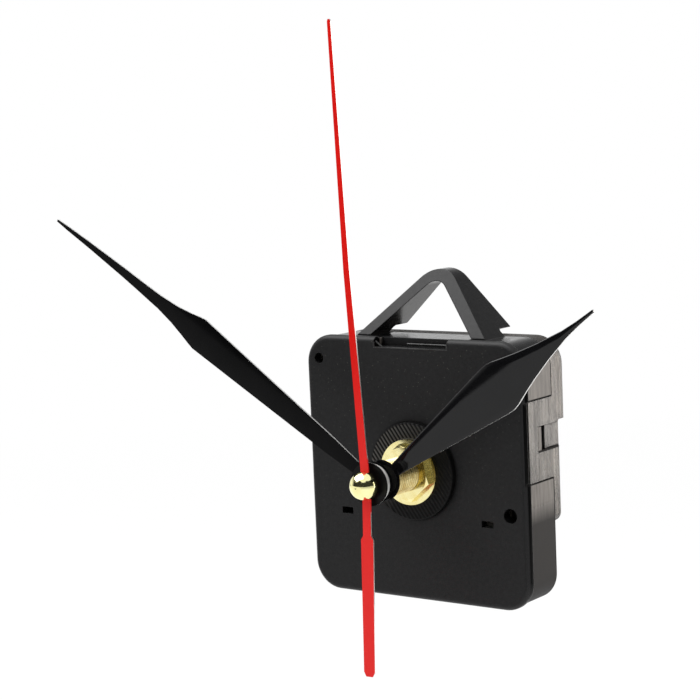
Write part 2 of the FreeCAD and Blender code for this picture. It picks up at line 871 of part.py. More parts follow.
def make_hour_wheel():
    rear = hour_wheel_front + hour_wheel_thickness
    disc = wheel(
        centre_axis, hour_wheel_teeth, minute_pinion_teeth, hour_module, hour_wheel_phase,
        hour_wheel_front, rear,
    )
    pipe = rod(centre_axis, hour_pipe_radius, -hour_pipe_front, hour_wheel_front + hour_wheel_thickness / 2)
    bore = rod(centre_axis, minute_pipe_radius + running_gap, -hour_pipe_front - overrun, rear + overrun)
    return joined([disc, pipe]).cut(bore)


def make_minute_wheel():
    pinion_front = hour_wheel_front - layer_gap / 2
    leaves = pinion(
        minute_axis, minute_pinion_teeth, hour_wheel_teeth, hour_module, minute_pinion_phase,
        pinion_front, minute_wheel_front,
    )
    disc = wheel(
        minute_axis, minute_wheel_teeth, cannon_teeth, cannon_module, minute_wheel_phase,
        minute_wheel_front, minute_wheel_front + minute_wheel_thickness,
    )
    bore = rod(minute_axis, post_radius + running_gap, pinion_front - overrun, plate_front)
    return joined([leaves, disc]).cut(bore)


def make_minute_pipe():
    cannon_front = minute_wheel_front - pinion_overhang
    leaves = pinion(
        centre_axis, cannon_teeth, minute_wheel_teeth, cannon_module, cannon_phase, cannon_front, cannon_rear,
    )
    pipe = rod(centre_axis, minute_pipe_radius, -minute_pipe_front, cannon_front + layer_gap / 2)
    hub = rod(centre_axis, minute_hub_radius, cannon_rear, centre_wheel_rear + layer_gap)
    head = -minute_pipe_front
    bore = rod(centre_axis, second_arbor_radius + running_gap, head - overrun, plate_front)
    mouth = rod(centre_axis, minute_pipe_counterbore, head - overrun, head + minute_pipe_counterbore_depth)
    return joined([leaves, pipe, hub]).cut(bore).cut(mouth)


def make_centre_wheel():
    """Return the wheel that grips the minute pipe's hub with sprung tongues between curved slots."""
    disc = wheel(
        centre_axis, centre_wheel_teeth, third_pinion_teeth, centre_module, centre_wheel_phase,
        centre_wheel_front, centre_wheel_rear,
    )
    disc = disc.cut(rod(centre_axis, minute_hub_radius + running_gap, centre_wheel_front - overrun, plate_front))
    for number in range(clutch_slots):
        start = 360 * number / clutch_slots
        outer = Part.makeCylinder(
            clutch_slot_radius + clutch_slot_width / 2, centre_wheel_thickness + 2 * overrun,
            point(0, centre_wheel_front - overrun, 0), point(0, 1, 0), clutch_slot_angle,
        )
        inner = rod(
            centre_axis, clutch_slot_radius - clutch_slot_width / 2,
            centre_wheel_front - 2 * overrun, centre_wheel_rear + 2 * overrun,
        )
        slot = outer.cut(inner)
        slot.rotate(point(0, 0, 0), point(0, 1, 0), start)
        disc = disc.cut(slot)
    return disc


def make_third_wheel():
    leaves_front = cannon_rear + layer_gap / 2
    leaves = pinion(
        third_axis, third_pinion_teeth, centre_wheel_teeth, centre_module, third_pinion_phase,
        leaves_front, centre_wheel_rear + layer_gap / 2,
    )
    disc = wheel(
        third_axis, third_wheel_teeth, second_pinion_teeth, third_module, third_wheel_phase,
        third_wheel_front, third_wheel_rear,
    )
    stem = rod(third_axis, arbor_radius, centre_wheel_rear, arbor_rear - pivot_length - layer_gap / 2)
    front_pivot = rod(third_axis, pivot_radius, leaves_front - pivot_length, leaves_front + layer_gap)
    rear_pivot = rod(third_axis, pivot_radius, arbor_rear - 2 * pivot_length, arbor_rear)
    return joined([leaves, disc, stem, front_pivot, rear_pivot])


def make_second_wheel():
    leaves = pinion(
        centre_axis, second_pinion_teeth, third_wheel_teeth, third_module, second_pinion_phase,
        third_wheel_front - pinion_overhang, second_wheel_front,
    )
    disc = wheel(
        centre_axis, second_wheel_teeth, intermediate_pinion_teeth, second_module, second_wheel_phase,
        second_wheel_front, second_wheel_rear,
    )
    hub = rod(centre_axis, 2 * arbor_radius, second_wheel_front, second_wheel_rear + layer_gap)
    piece = joined([leaves, disc, hub])
    window_distance = second_module * second_wheel_teeth / 2 - 2.2 * wheel_window_radius
    for number in range(3):
        window = polar(window_distance, 30 + 120 * number)
        piece = piece.cut(rod(window, wheel_window_radius, second_wheel_front - overrun, intermediate_front))
    return piece.cut(rod(centre_axis, second_arbor_radius + press_gap, plate_front, cover_rear))


def make_second_arbor():
    return rod(centre_axis, second_arbor_radius, -second_arbor_front, arbor_rear)


def make_intermediate_wheel():
    leaves_front = second_wheel_front - pinion_overhang
    leaves = pinion(
        intermediate_axis, intermediate_pinion_teeth, second_wheel_teeth, second_module,
        intermediate_pinion_phase, leaves_front, intermediate_front,
    )
    disc = wheel(
        intermediate_axis, intermediate_wheel_teeth, rotor_pinion_teeth, rotor_module,
        intermediate_wheel_phase, intermediate_front, intermediate_rear,
    )
    front_stem = rod(intermediate_axis, arbor_radius, plate_rear + layer_gap / 2, leaves_front)
    rear_stem = rod(intermediate_axis, arbor_radius, intermediate_rear, arbor_rear - pivot_length - layer_gap / 2)
    pivots = rod(intermediate_axis, pivot_radius, plate_front, arbor_rear)
    return joined([leaves, disc, front_stem, rear_stem, pivots])


def make_rotor_pinion():
    leaves = pinion(
        rotor_axis, rotor_pinion_teeth, intermediate_wheel_teeth, rotor_module, rotor_pinion_phase,
        intermediate_front - pinion_overhang, intermediate_rear + pinion_overhang,
    )
    sleeve = rod(rotor_axis, 1.5 * arbor_radius, stator_front - magnet_length / 3, intermediate_front)
    sleeve = sleeve.cut(rod(rotor_axis, arbor_radius, intermediate_front - layer_gap, intermediate_rear))
    core = rod(rotor_axis, arbor_radius, plate_rear + layer_gap / 2, intermediate_front)
    rear_stem = rod(rotor_axis, pivot_radius, intermediate_front, arbor_rear)
    front_pivot = rod(rotor_axis, pivot_radius, plate_front, plate_rear + layer_gap)
    return joined([leaves, core, rear_stem, front_pivot, sleeve])


def make_rotor_magnet():
    front = stator_front - (magnet_length - stator_thickness) / 2
    return ring(rotor_axis, magnet_radius, 1.5 * arbor_radius + press_gap, front, front + magnet_length)


def make_stator():
    """Return the pole plate: a ring round the rotor with two arms to the ends of the coil core."""
    arm_left = coil_x - coil_flange / 2 - stator_arm_width - layer_gap
    arm_right = coil_x + core_width / 2 + layer_gap
    upper_top = core_high
    upper_bottom = core_high - core_width
    lower_top = core_low + core_width
    outline = (
        (rotor_axis[0], lower_top + layer_gap),
        (rotor_axis[0], core_low),
        (arm_right, core_low),
        (arm_right, lower_top),
        (rotor_axis[0] + stator_ring_radius, lower_top),
        (rotor_axis[0] + stator_ring_radius, rotor_axis[1]),
        (arm_left + stator_arm_width, rotor_axis[1] + stator_ring_radius),
        (arm_left + stator_arm_width, upper_bottom),
        (arm_right, upper_bottom),
        (arm_right, upper_top),
        (arm_left + stator_arm_width / 2, upper_top),
        (arm_left, upper_top - stator_arm_width / 2),
        (arm_left, rotor_axis[1] + stator_ring_radius / 2),
    )
    arms = slab(outline, stator_front, stator_rear)
    collar = rod(rotor_axis, stator_ring_radius, stator_front, stator_rear)
    plate = joined([arms, collar])
    tools = [rod(rotor_axis, stator_hole_radius, stator_front - overrun, stator_rear + overrun)]
    for side in (60, 240):
        notch = polar(stator_hole_radius, rotor_angle + side, rotor_axis)
        tools.append(rod(notch, stator_bridge_notch, stator_front - overrun, stator_rear + overrun))
    leaf_reach_radius = second_module * (intermediate_pinion_teeth / 2 + pinion_addendum_share)
    tools.append(rod(
        intermediate_axis, leaf_reach_radius + loose_gap, stator_front - overrun, stator_rear + overrun,
    ))
    for peg in core_pegs:
        tools.append(rod(peg, core_peg_radius + press_gap, stator_front - overrun, stator_rear + overrun))
    return cut_away(plate, tools)


def make_coil_core():
    bar = box(
        coil_x - core_width / 2, coil_x + core_width / 2, stator_rear, core_rear, core_low, core_high,
    )
    tools = []
    for peg in core_pegs:
        tools.append(rod(peg, core_peg_radius + press_gap, stator_rear - overrun, core_rear + overrun))
    return cut_away(bar, tools)


def upright(radius, z_low, z_high):
    """Return a cylinder along Z about the coil's axis."""
    return Part.makeCylinder(radius, z_high - z_low, point(coil_x, coil_centre, z_low))


def make_coil_bobbin():
    coil_top = coil_bottom + coil_length
    half = coil_flange / 2
    flanges = []
    for z_low in (coil_bottom, coil_top - coil_flange_thickness):
        flanges.append(box(
            coil_x - half, coil_x + half, coil_centre - half, coil_centre + half,
            z_low, z_low + coil_flange_thickness,
        ))
    barrel = upright(coil_barrel_radius, coil_bottom, coil_top)
    opening = box(
        coil_x - core_width / 2 - running_gap, coil_x + core_width / 2 + running_gap,
        stator_rear - running_gap, core_rear + running_gap,
        coil_bottom - overrun, coil_top + overrun,
    )
    return joined(flanges + [barrel]).cut(opening)


def make_coil_winding():
    low = coil_bottom + coil_flange_thickness + running_gap
    high = coil_bottom + coil_length - coil_flange_thickness - running_gap
    body = upright(coil_winding_radius, low, high)
    return body.cut(upright(coil_barrel_radius + press_gap, low - overrun, high + overrun))


def make_circuit_board():
    board = box(board_left, board_right, board_front, board_rear, board_bottom, board_top)
    corner = board_post_radius
    nick = rod((board_left, board_top), corner, board_front - overrun, board_rear + overrun)
    return board.cut(nick)


def make_quartz_crystal():
    """Return the can of the crystal, lying on the board, with its base flange."""
    y = board_rear + crystal_radius + running_gap
    can = Part.makeCylinder(crystal_radius, crystal_length, point(crystal_x, y, crystal_z), point(1, 0, 0))
    tip = [edge for edge in can.Edges if edge.BoundBox.XMin > crystal_x + crystal_length - press_gap]
    can = can.makeChamfer(crystal_chamfer, tip)
    base = Part.makeCylinder(
        crystal_radius + running_gap, crystal_radius / 3, point(crystal_x, y, crystal_z), point(1, 0, 0)
    )
    return joined([can, base])


def make_chip_cap():
    """Return the low dome of resin over the chip."""
    sphere_radius = (chip_radius ** 2 + chip_height ** 2) / (2 * chip_height)
    centre = board_rear + chip_height - sphere_radius
    ball = Part.makeSphere(sphere_radius, point(chip_x, centre, chip_z))
    reach = 2 * sphere_radius
    above = box(
        chip_x - reach, chip_x + reach, board_rear, board_rear + reach, chip_z - reach, chip_z + reach,
    )
    return ball.common(above)


def contact_wall(side):
    """Return the low and high x of the contact sheet against the end wall on one side."""
    outer = chamber_half - contact_end_clearance
    if side > 0:
        return (outer - contact_thickness, outer)
    return (-outer, -outer + contact_thickness)


def cell_axis_height():
    return (bay_bottom + bay_top) / 2


def contact_blade(side, top):
    x_low, x_high = contact_wall(side)
    bottom = cell_axis_height() - contact_below_cell_axis
    blade = box(x_low, x_high, contact_front, contact_rear, bottom, bay_top - contact_margin)
    strip = box(x_low, x_high, contact_front, contact_front + contact_strip_width, bottom, top)
    return [blade, strip]


def make_positive_contact():
    foot_bottom = board_bottom + board_post_radius
    foot_top = foot_bottom + contact_foot_width
    x_low, x_high = contact_wall(1)
    pieces = contact_blade(1, foot_top)
    middle = (contact_front + contact_rear) / 2
    pieces.append(Part.makeCylinder(
        contact_bump_radius, contact_bump_height + contact_thickness / 2,
        point(x_low - contact_bump_height, middle, cell_axis_height()), point(1, 0, 0),
    ))
    pieces.append(box(
        board_right - contact_foot_length, x_high,
        board_rear, board_rear + contact_thickness, foot_bottom, foot_top,
    ))
    return joined(pieces)


def make_negative_contact():
    x_low, x_high = contact_wall(-1)
    strip_top = board_bottom
    pieces = contact_blade(-1, strip_top)
    rear = contact_front + contact_strip_width
    pieces.append(box(
        x_low, board_left + contact_foot_width, contact_front, rear, strip_top - contact_thickness, strip_top,
    ))
    pieces.append(box(
        board_left + contact_foot_width / 3, board_left + contact_foot_width,
        board_rear, board_rear + contact_thickness, strip_top - contact_thickness, strip_top + contact_foot_width,
    ))
    leaf_x = x_high + leaf_reach - leaf_radius
    middle = (contact_front + contact_rear) / 2
    low = cell_axis_height() - leaf_height / 2
    outer = Part.makeCylinder(leaf_radius, leaf_height, point(leaf_x, middle, low))
    inner = Part.makeCylinder(leaf_radius - contact_thickness, leaf_height + 2 * overrun,
                              point(leaf_x, middle, low - overrun))
    keep = box(
        x_high - contact_thickness / 2, x_high + leaf_reach + overrun,
        middle - leaf_radius - overrun, middle + leaf_radius / 2, low, low + leaf_height,
    )
    pieces.append(outer.cut(inner).common(keep))
    return joined(pieces)


def make_middle_plate():
    left = -chamber_half + loose_gap + band_inner_wall
    right = coil_x - coil_flange / 2 - layer_gap
    low = chamber_bottom + loose_gap
    high = chamber_top - loose_gap
    corner = top_corner_radius - side_wall
    outline = (
        (left, low + corner / 3),
        (left + corner / 3, low),
        (board_left, low),
        (board_left, board_top + layer_gap),
        (right, board_top + layer_gap),
        (right, high),
        (left + corner, high),
        (left, high - corner),
    )
    plate = slab(outline, plate_front, plate_rear)
    pieces = [plate]
    pieces.append(rod(rotor_axis, boss_radius, plate_rear, plate_rear + layer_gap / 4))
    plate = joined(pieces)
    tools = []
    through = (plate_front - overrun, plate_rear + overrun)
    for pillar in plate_pillars:
        tools.append(rod(pillar, plate_peg_radius + press_gap, *through))
    tools.append(rod(centre_axis, second_arbor_radius + running_gap, *through))
    tools.append(rod(third_axis, third_pinion_teeth * centre_module, *through))
    tools.append(rod(intermediate_axis, pivot_radius + running_gap, *through))
    tools.append(rod(rotor_axis, pivot_radius + running_gap, *through))
    tools.append(rod(knob_axis, knob_stem_radius + running_gap, *through))
    return cut_away(plate, tools)


def make_setting_knob():
    cannon_front = minute_wheel_front - pinion_overhang
    leaves = pinion(
        knob_axis, knob_teeth, minute_wheel_teeth, knob_module, knob_phase, cannon_front, cannon_rear,
    )
    head_front = cover_low_rear - knob_well_depth + layer_gap
    stem = rod(knob_axis, knob_stem_radius, cannon_rear, head_front)
    pivot = rod(knob_axis, 2 * pivot_radius, minute_wheel_front - layer_gap - pivot_length, cannon_front)
    head = rod(knob_axis, knob_radius, head_front, head_front + knob_thickness - knob_grip_height)
    dish = rod(
        knob_axis, knob_radius - knob_grip_width, head_front + knob_grip_height, cover_rear + overrun,
    )
    head = head.cut(dish)
    grip = box(
        knob_axis[0] - knob_radius + knob_lug_depth, knob_axis[0] + knob_radius - knob_lug_depth,
        head_front + knob_grip_height / 2, head_front + knob_thickness,
        knob_axis[1] - knob_grip_width / 2, knob_axis[1] + knob_grip_width / 2,
    )
    bound = rod(knob_axis, knob_radius - knob_lug_depth, head_front, cover_rear + overrun)
    piece = joined([leaves, stem, pivot, head, grip.common(bound)])
    for number in range(knob_lug_count):
        place = polar(knob_radius + knob_lug_depth, 360 * number / knob_lug_count, knob_axis)
        flute = rod(place, 2 * knob_lug_depth, head_front - overrun / 2, cover_rear + overrun)
        piece = piece.cut(flute)
    return piece


def blade_prism(length, half_width, plane, shares):
    """Return the outline of a blade that points up, extruded right through its sheet."""
    right = [(half_width * width, length * along) for along, width in shares]
    left = [(-x, z) for x, z in reversed(right)]
    return slab(right + left, -plane - half_width, -plane + half_width)


def curved_sheet(plane, length):
    """Return a sheet whose section is an arc about the blade's length, with its crown to the front."""
    middle = point(0, -plane + hand_curve_radius, 0)
    outer = Part.makeCylinder(hand_curve_radius, length, middle)
    inner = Part.makeCylinder(hand_curve_radius - hand_sheet, length + 2 * overrun, middle - point(0, 0, overrun))
    return outer.cut(inner)


def bent_sheet(plane, start, end, lean, spans, reach):
    """Return a flat sheet from start to end that curls to the front by lean."""
    front = []
    for step in range(spans + 1):
        share = step / spans
        front.append((-plane - lean * share ** 2, start + (end - start) * share))
    back = [(y + hand_sheet, z) for y, z in reversed(front)]
    corners = [point(-reach, y, z) for y, z in front + back]
    corners.append(corners[0])
    return Part.Face(Part.makePolygon(corners)).extrude(point(2 * reach, 0, 0))


def turned(shape, angle):
    """Turn a hand that points up, clockwise as seen from the dial side."""
    shape.rotate(point(0, 0, 0), point(0, 1, 0), angle)
    return shape


def make_hour_hand():
    prism = blade_prism(hour_hand_length, hour_hand_half_width, hour_hand_plane, hour_outline_shares)
    blade = prism.common(curved_sheet(hour_hand_plane, hour_hand_length))
    rear = -hour_hand_plane + hand_sheet
    hub = rod(centre_axis, hour_hub_radius, -hour_hub_front, rear)
    hole = rod(centre_axis, collet_spigot_radius + press_gap, -hour_hub_front - overrun, rear + overrun)
    recess = rod(centre_axis, hour_collet_radius + press_gap, rear - hour_collet_flange, rear + overrun)
    return turned(joined([blade, hub]).cut(hole).cut(recess), hour_hand_angle)


def make_hour_collet():
    """Return the bush that is pressed on the hour pipe, with the spigot that holds the hand."""
    bore = hour_pipe_radius + press_gap
    seat = -hour_hand_plane + hand_sheet - hour_collet_flange
    rear = -hour_hand_plane + hand_sheet + loose_gap
    return revolved((
        (bore, -hour_hub_front),
        (collet_spigot_radius, -hour_hub_front),
        (collet_spigot_radius, seat),
        (hour_collet_radius, seat),
        (hour_collet_radius, rear),
        (bore, rear),
    ))


def make_minute_hand():
    prism = blade_prism(minute_hand_length, minute_hand_half_width, minute_hand_plane, minute_outline_shares)
    blade = prism.common(curved_sheet(minute_hand_plane, minute_tip_bend))
    tip = prism.common(bent_sheet(
        minute_hand_plane, minute_tip_bend, minute_hand_length + overrun, minute_tip_lean,
        minute_tip_spans, minute_hand_half_width,
    ))
    rear = -minute_hand_plane + hand_sheet
    hub = rod(centre_axis, minute_hub_radius, -minute_hand_plane, rear)
    hole = rod(centre_axis, collet_spigot_radius + press_gap, -minute_hand_plane - overrun, rear + overrun)
    return turned(joined([blade, tip, hub]).cut(hole), minute_hand_angle)


def make_minute_collet():
    """Return the bush pressed on the minute pipe: a flange in front, a neck, and the hand's spigot."""
    bore = minute_pipe_radius + press_gap
    front = -minute_collet_front
    seat = -minute_hand_plane - press_gap
    rear = -minute_hand_plane + hand_sheet
    return revolved((
        (bore, front),
        (minute_collet_radius, front),
        (minute_collet_radius, front + minute_collet_flange),
        (minute_collet_neck_radius, front + minute_collet_flange),
        (minute_collet_neck_radius, seat),
        (collet_spigot_radius, seat),
        (collet_spigot_radius, rear),
        (bore, rear),
    ))


def make_second_hand():
    """Return the needle: a flat outline cut from a strip whose two ends lean forward a little."""
    neck = second_tail_neck_length
    right = (
        (second_tail_end_half * 0.6, -second_hand_tail),
        (second_tail_end_half, -second_hand_tail + second_tail_end_half * 0.7),
        (second_tail_half, -neck - second_tail_half * 0.5),
        (second_tail_neck_half, -neck),
        (second_hand_root_half, 0.0),
        (second_hand_tip_half, second_hand_length - second_hand_tip_half),
        (second_hand_tip_half / 2, second_hand_length),
    )
    left = tuple((-x, z) for x, z in reversed(right))
    depth = second_hand_plane + second_tail_lean
    prism = slab(right + left, -depth - overrun, -second_hand_plane + overrun)
    front = (
        (-second_hand_plane, -second_hub_flat),
        (-second_hand_plane, second_hub_flat),
        (-second_hand_plane - second_hand_lean, second_hand_bend),
        (-second_hand_plane - second_hand_lean, second_hand_length + overrun),
    )
    tail = (-second_hand_plane - second_tail_lean, -second_hand_tail)
    line = (tail,) + front
    back = tuple((y + second_hand_sheet, z) for y, z in reversed(line))
    reach = second_tail_half + overrun
    corners = [point(-reach, y, z) for y, z in line + back]
    corners.append(corners[0])
    strip = Part.Face(Part.makePolygon(corners)).extrude(point(2 * reach, 0, 0))
    hub = rod(centre_axis, 2 * second_tube_radius, -second_hand_plane, -second_hand_plane + second_hand_sheet)
    hole = rod(
        centre_axis, second_tube_radius + press_gap,
        -second_hand_plane - overrun, -second_hand_plane + overrun,
    )
    return turned(joined([prism.common(strip), hub]).cut(hole), second_hand_angle)


def make_second_tube():
    return ring(
        centre_axis, second_tube_radius, second_arbor_radius + press_gap,
        -second_hand_plane, -second_hand_plane + second_tube_length,
    )


def make_second_cap():
    """Return the domed brass head, hollow where the arbor ends inside it."""
    base = -second_hand_plane
    foot = base - cap_base
    crown = foot - cap_radius
    slant = cap_radius * math.sin(45 * degree)
    edges = (
        Part.makeLine(point(0, base, 0), point(cap_radius, base, 0)),
        Part.makeLine(point(cap_radius, base, 0), point(cap_radius, foot, 0)),
        Part.Arc(point(cap_radius, foot, 0), point(slant, foot - slant, 0), point(0, crown, 0)).toShape(),
        Part.makeLine(point(0, crown, 0), point(0, base, 0)),
    )
    dome = Part.Face(Part.Wire(edges)).revolve(point(0, 0, 0), point(0, 1, 0), 360)
    arbor_end = -second_arbor_front - loose_gap
    return dome.cut(rod(centre_axis, second_arbor_radius + press_gap, arbor_end, base + overrun))


builders = {
    "front_case": make_front_case,
    "rear_cover": make_rear_cover,
    "middle_plate": make_middle_plate,
    "threaded_bush": make_threaded_bush,
    "rubber_washer": make_rubber_washer,
    "brass_washer": make_brass_washer,
    "hex_nut": make_hex_nut,
    "hour_wheel": make_hour_wheel,
    "minute_wheel": make_minute_wheel,
    "minute_pipe": make_minute_pipe,
    "centre_wheel": make_centre_wheel,
    "third_wheel": make_third_wheel,
    "second_wheel": make_second_wheel,
    "second_arbor": make_second_arbor,
    "intermediate_wheel": make_intermediate_wheel,
    "rotor_pinion": make_rotor_pinion,
    "rotor_magnet": make_rotor_magnet,
    "stator": make_stator,
    "coil_core": make_coil_core,
    "coil_bobbin": make_coil_bobbin,
    "coil_winding": make_coil_winding,
    "circuit_board": make_circuit_board,
    "quartz_crystal": make_quartz_crystal,
    "chip_cap": make_chip_cap,
    "positive_contact": make_positive_contact,
    "negative_contact": make_negative_contact,
    "setting_knob": make_setting_knob,
    "hour_hand": make_hour_hand,
    "hour_hand_collet": make_hour_collet,
    "minute_hand": make_minute_hand,
    "minute_hand_collet": make_minute_collet,
    "second_hand": make_second_hand,
    "second_hand_tube": make_second_tube,
    "second_hand_cap": make_second_cap,
}

os.makedirs("parts", exist_ok=True)
for name, build in builders.items():
    shape = build()
    print(name, "solids", len(shape.Solids), "valid", shape.isValid(), "volume", round(shape.Volume, 3))
    shape.exportStep("parts/" + name + ".step")
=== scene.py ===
import math

import bpy
from mathutils import Matrix, Vector


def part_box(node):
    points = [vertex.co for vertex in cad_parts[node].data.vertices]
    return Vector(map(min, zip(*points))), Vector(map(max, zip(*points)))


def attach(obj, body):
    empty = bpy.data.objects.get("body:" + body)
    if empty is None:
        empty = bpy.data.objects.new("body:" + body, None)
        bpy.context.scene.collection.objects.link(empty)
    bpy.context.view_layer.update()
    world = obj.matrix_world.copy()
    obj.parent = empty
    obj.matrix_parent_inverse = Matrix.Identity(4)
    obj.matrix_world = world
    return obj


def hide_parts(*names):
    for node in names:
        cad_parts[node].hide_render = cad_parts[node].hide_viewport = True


# Looks of the quartz clock movement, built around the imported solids. Lengths are in metres, and the
# frame is the same as theirs: the hand axis is the Y axis, the dial side faces -Y and Z is up. What
# a solid's own box gives is read from the frame.

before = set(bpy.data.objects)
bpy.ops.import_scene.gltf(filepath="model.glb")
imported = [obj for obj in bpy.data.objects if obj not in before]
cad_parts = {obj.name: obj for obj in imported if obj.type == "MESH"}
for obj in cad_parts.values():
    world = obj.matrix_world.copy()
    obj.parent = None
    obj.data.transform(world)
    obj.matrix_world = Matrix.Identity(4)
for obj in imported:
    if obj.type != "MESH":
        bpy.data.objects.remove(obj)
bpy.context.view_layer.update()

mm = 0.001
degree = math.pi / 180
full_turn = 2 * math.pi
axis_x = (1.0, 0.0, 0.0)
axis_y = (0.0, 1.0, 0.0)
axis_z = (0.0, 0.0, 1.0)
toward_dial = (0.0, -1.0, 0.0)
across_hand_axis = (1.0, 0.0, 1.0)
white = (1.0, 1.0, 1.0)
black = (0.0, 0.0, 0.0)

# Camera, whose lens and sensor are in millimetres
camera_place = Vector((239.525, -349.294, 78.826)) * mm
camera_aim = Vector((-15.784, 0.0, 25.603)) * mm
camera_roll = -2.447 * degree
camera_lens = 102.51
camera_sensor = 36.0
camera_near = 0.01
camera_far = 50.0

# Room around the part: its even light, and what glossy faces mirror of it by direction and height.
# A pair of numbers is where a change starts and ends.
room_light = 0.5
room_dark = 0.03
room_behind = (-0.57, 0.82, 0.0)
room_behind_edge = (0.0, 0.4)
room_behind_fade = (0.2, 0.5)
room_behind_high = 0.24
room_horizon = (0.0, 0.03)
room_ceiling_edge = (0.62, 0.68)
room_cloud_scale = 3.5
room_cloud_noise = (0.3, 0.7)
room_cloud_depth = 0.16

# Floor, with the share of white that glossy faces mirror of it in front, behind and at the right
floor_height = -112 * mm
floor_half = 4.0
floor_color = (0.93, 0.93, 0.93)
floor_roughness = 0.9
floor_white = 0.88
floor_fade = (0.15, 0.8)
floor_mirrored_front = 0.95
floor_mirrored_behind = 0.12
floor_mirrored_right = 0.14
floor_right_edge = (-0.05, 0.2)
floor_behind_edge = (-0.2, 0.2)

# Lamps
top_box_place = (-0.32, -0.16, 0.68)
top_box_aim = (0.0, 0.0, 0.0)
top_box_size = (0.8, 0.8)
top_box_power = 8.0
side_box_place = (0.353, 0.45, 0.06)
side_box_aim = (0.0, 0.0, side_box_place[2])
side_box_size = (0.45, 0.34)
side_box_power = 1.2
side_box_color = (1.0, 0.94, 0.88)

# Threaded bush
bush_low, bush_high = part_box("threaded_bush")
bush_front = bush_low.y
bush_wall_front = 0.0
bush_flange_front = 1.3 * mm
bush_flange_rear = bush_high.y
bush_flange_radius = bush_high.x
bush_bore = 2.56 * mm
bush_segments = 120
thread_crest = 3.9 * mm
thread_root = 3.5 * mm
thread_pitch = 0.75 * mm
thread_rows_per_pitch = 10
thread_chamfer = 0.45 * mm
thread_flank_slope = 2.6
thread_root_share = 0.15

# Rubber washer, whose straight ribs are deepest on one side and pressed flatter on the other
washer_low, washer_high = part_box("rubber_washer")
washer_front = washer_low.y
washer_rear = washer_high.y
washer_outer = washer_high.z
washer_bore = 4.1 * mm
washer_chamfer = 0.2 * mm
washer_segments = 560
washer_rib_inner = 7.2 * mm
washer_rib_outer = washer_outer - washer_chamfer
washer_rib_depth = 0.16 * mm
washer_rib_pitch = 0.85 * mm
washer_rib_angle = 126 * degree
washer_rib_rows = 26
washer_deepest_angle = 130 * degree
washer_depth_mean = 0.65
washer_depth_sway = 0.35

# Mouldings at the mouth of the top pocket
pocket_half_width = 9.4 * mm
pocket_rim_top = 27.65 * mm
pocket_floor = 26.45 * mm
pocket_bead_radius = 0.2 * mm
pocket_bead_front = 0.12 * mm
pocket_bar_left = -2.0 * mm
pocket_bar_inset = 2.2 * mm
pocket_bar_rise = 0.7 * mm
pocket_brace_inset = 0.8 * mm
pocket_brace_run = 1.7 * mm
bead_resolution = 3

# Coil winding
coil_box_low, coil_box_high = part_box("coil_winding")
coil_end_gap = 0.01 * mm
coil_low = coil_box_low.z + coil_end_gap
coil_high = coil_box_high.z - coil_end_gap
coil_centre = Vector((20.3, 10.3, 0.0)) * mm
coil_outer = 3.0 * mm
coil_inner = 1.97 * mm
coil_wire = 0.28 * mm
coil_rows_per_turn = 4
coil_segments = 48

# Edges sharper than this stay sharp on the detailed pieces
smooth_angle = 35 * degree

# Hour hand's rolled edges: its outline as shares of its length and of its largest half width
hour_hand_angle = 54.2 * degree
hour_hand_length = 63.8 * mm
hour_hand_half_width = 5.5 * mm
hour_outline = (
    (0.0, 1.0), (0.06, 0.9), (0.075, 0.27), (0.54, 0.982), (0.57, 1.0), (0.595, 0.945), (0.647, 0.755),
    (0.697, 0.59), (0.776, 0.365), (0.87, 0.155), (0.933, 0.086), (1.0, 0.055),
)
edge_roll_width = 1.7 * mm
edge_roll_depth = 0.21 * mm
edge_burr_width = 0.3 * mm
edge_burr_depth = 0.07 * mm

# Patterns of all materials. Noise stays near a half, so a part of its range counts as the whole. A
# detail is how finely a noise is broken up, and a stretch below 1 draws it out along an axis. A pair
# of numbers is where a mask starts and is full, or the lowest and highest roughness.
noise_range = (0.35, 0.65)
soft_detail = 2.0
fine_detail = 3.0
turned_stretch = (1.0, 6.0, 1.0)
rolled_stretch = (1.0, 1.0, 8.0)

# Masks of several materials. The core of a line or dot, where it is full, is a share of its half width.
side_facing = (0.8, 0.95)
# Painted shade: gaps and inner corners within this reach are coloured black and made rough
shade_reach = 1.0 * mm
shade_fade = (0.55, 0.9)
shade_roughness = 0.9
line_core = 0.7
dot_core = 0.6
occlusion_samples = 8
usual_specular = 0.5

# Black case, whose lip is smooth and whose upper walls show upright streaks of painted reflection
case_dark = (0.006, 0.006, 0.0065)
case_light = (0.009, 0.009, 0.0095)
case_speck = (0.06, 0.06, 0.05)
case_reflection_streak = (0.17, 0.152, 0.135)
case_dull = (0.013, 0.011, 0.010)
case_specular = 0.25
case_patch = 0.9 * mm
case_edge_radius = 0.3 * mm
case_rear = 11.95 * mm
case_front_facing = (0.75, 0.95)
case_top_facing = (0.25, 0.5)
# Painted shade: the side of the lip is coloured blacker than the rest of the case
lip_shade = (0.0015, 0.0015, 0.0015)
lip_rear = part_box("rear_cover")[0].y
lip_blur = 0.1 * mm
lip_draft = (0.0, 0.36, -0.16)
lip_roughness = 0.15
lip_top_roughness = 0.45
face_roughness = (0.5, 0.66)
grain_patch = 0.24 * mm
grain_depth = 0.05 * mm
grain_strength = 0.6
ripple_patch = 0.9 * mm
ripple_depth = 0.01 * mm
ripple_strength = 0.3
speck_spacing = 0.9 * mm
speck_radius = 0.12 * mm
speck_fade = (-20.0 * mm, 28.0 * mm)
# Height above which the walls carry the painted reflection streaks and are glossier
upper_wall_from = -8.0 * mm
upper_wall_blur = 2.2 * mm
streak_patch = 0.8 * mm
streak_detail = 5.0
streak_stretch = (1.0, 1.0, 0.1)
streak_noise = (0.34, 0.66)
streak_share = (0.45, 1.0)
streak_roughness = (0.12, 0.24)
lower_wall_roughness = 0.6
band_top = 16.1 * mm
band_bottom = -1.5 * mm
# Painted shadow lines along the wall seams, of this half width
seam_shadow_half = 0.22 * mm

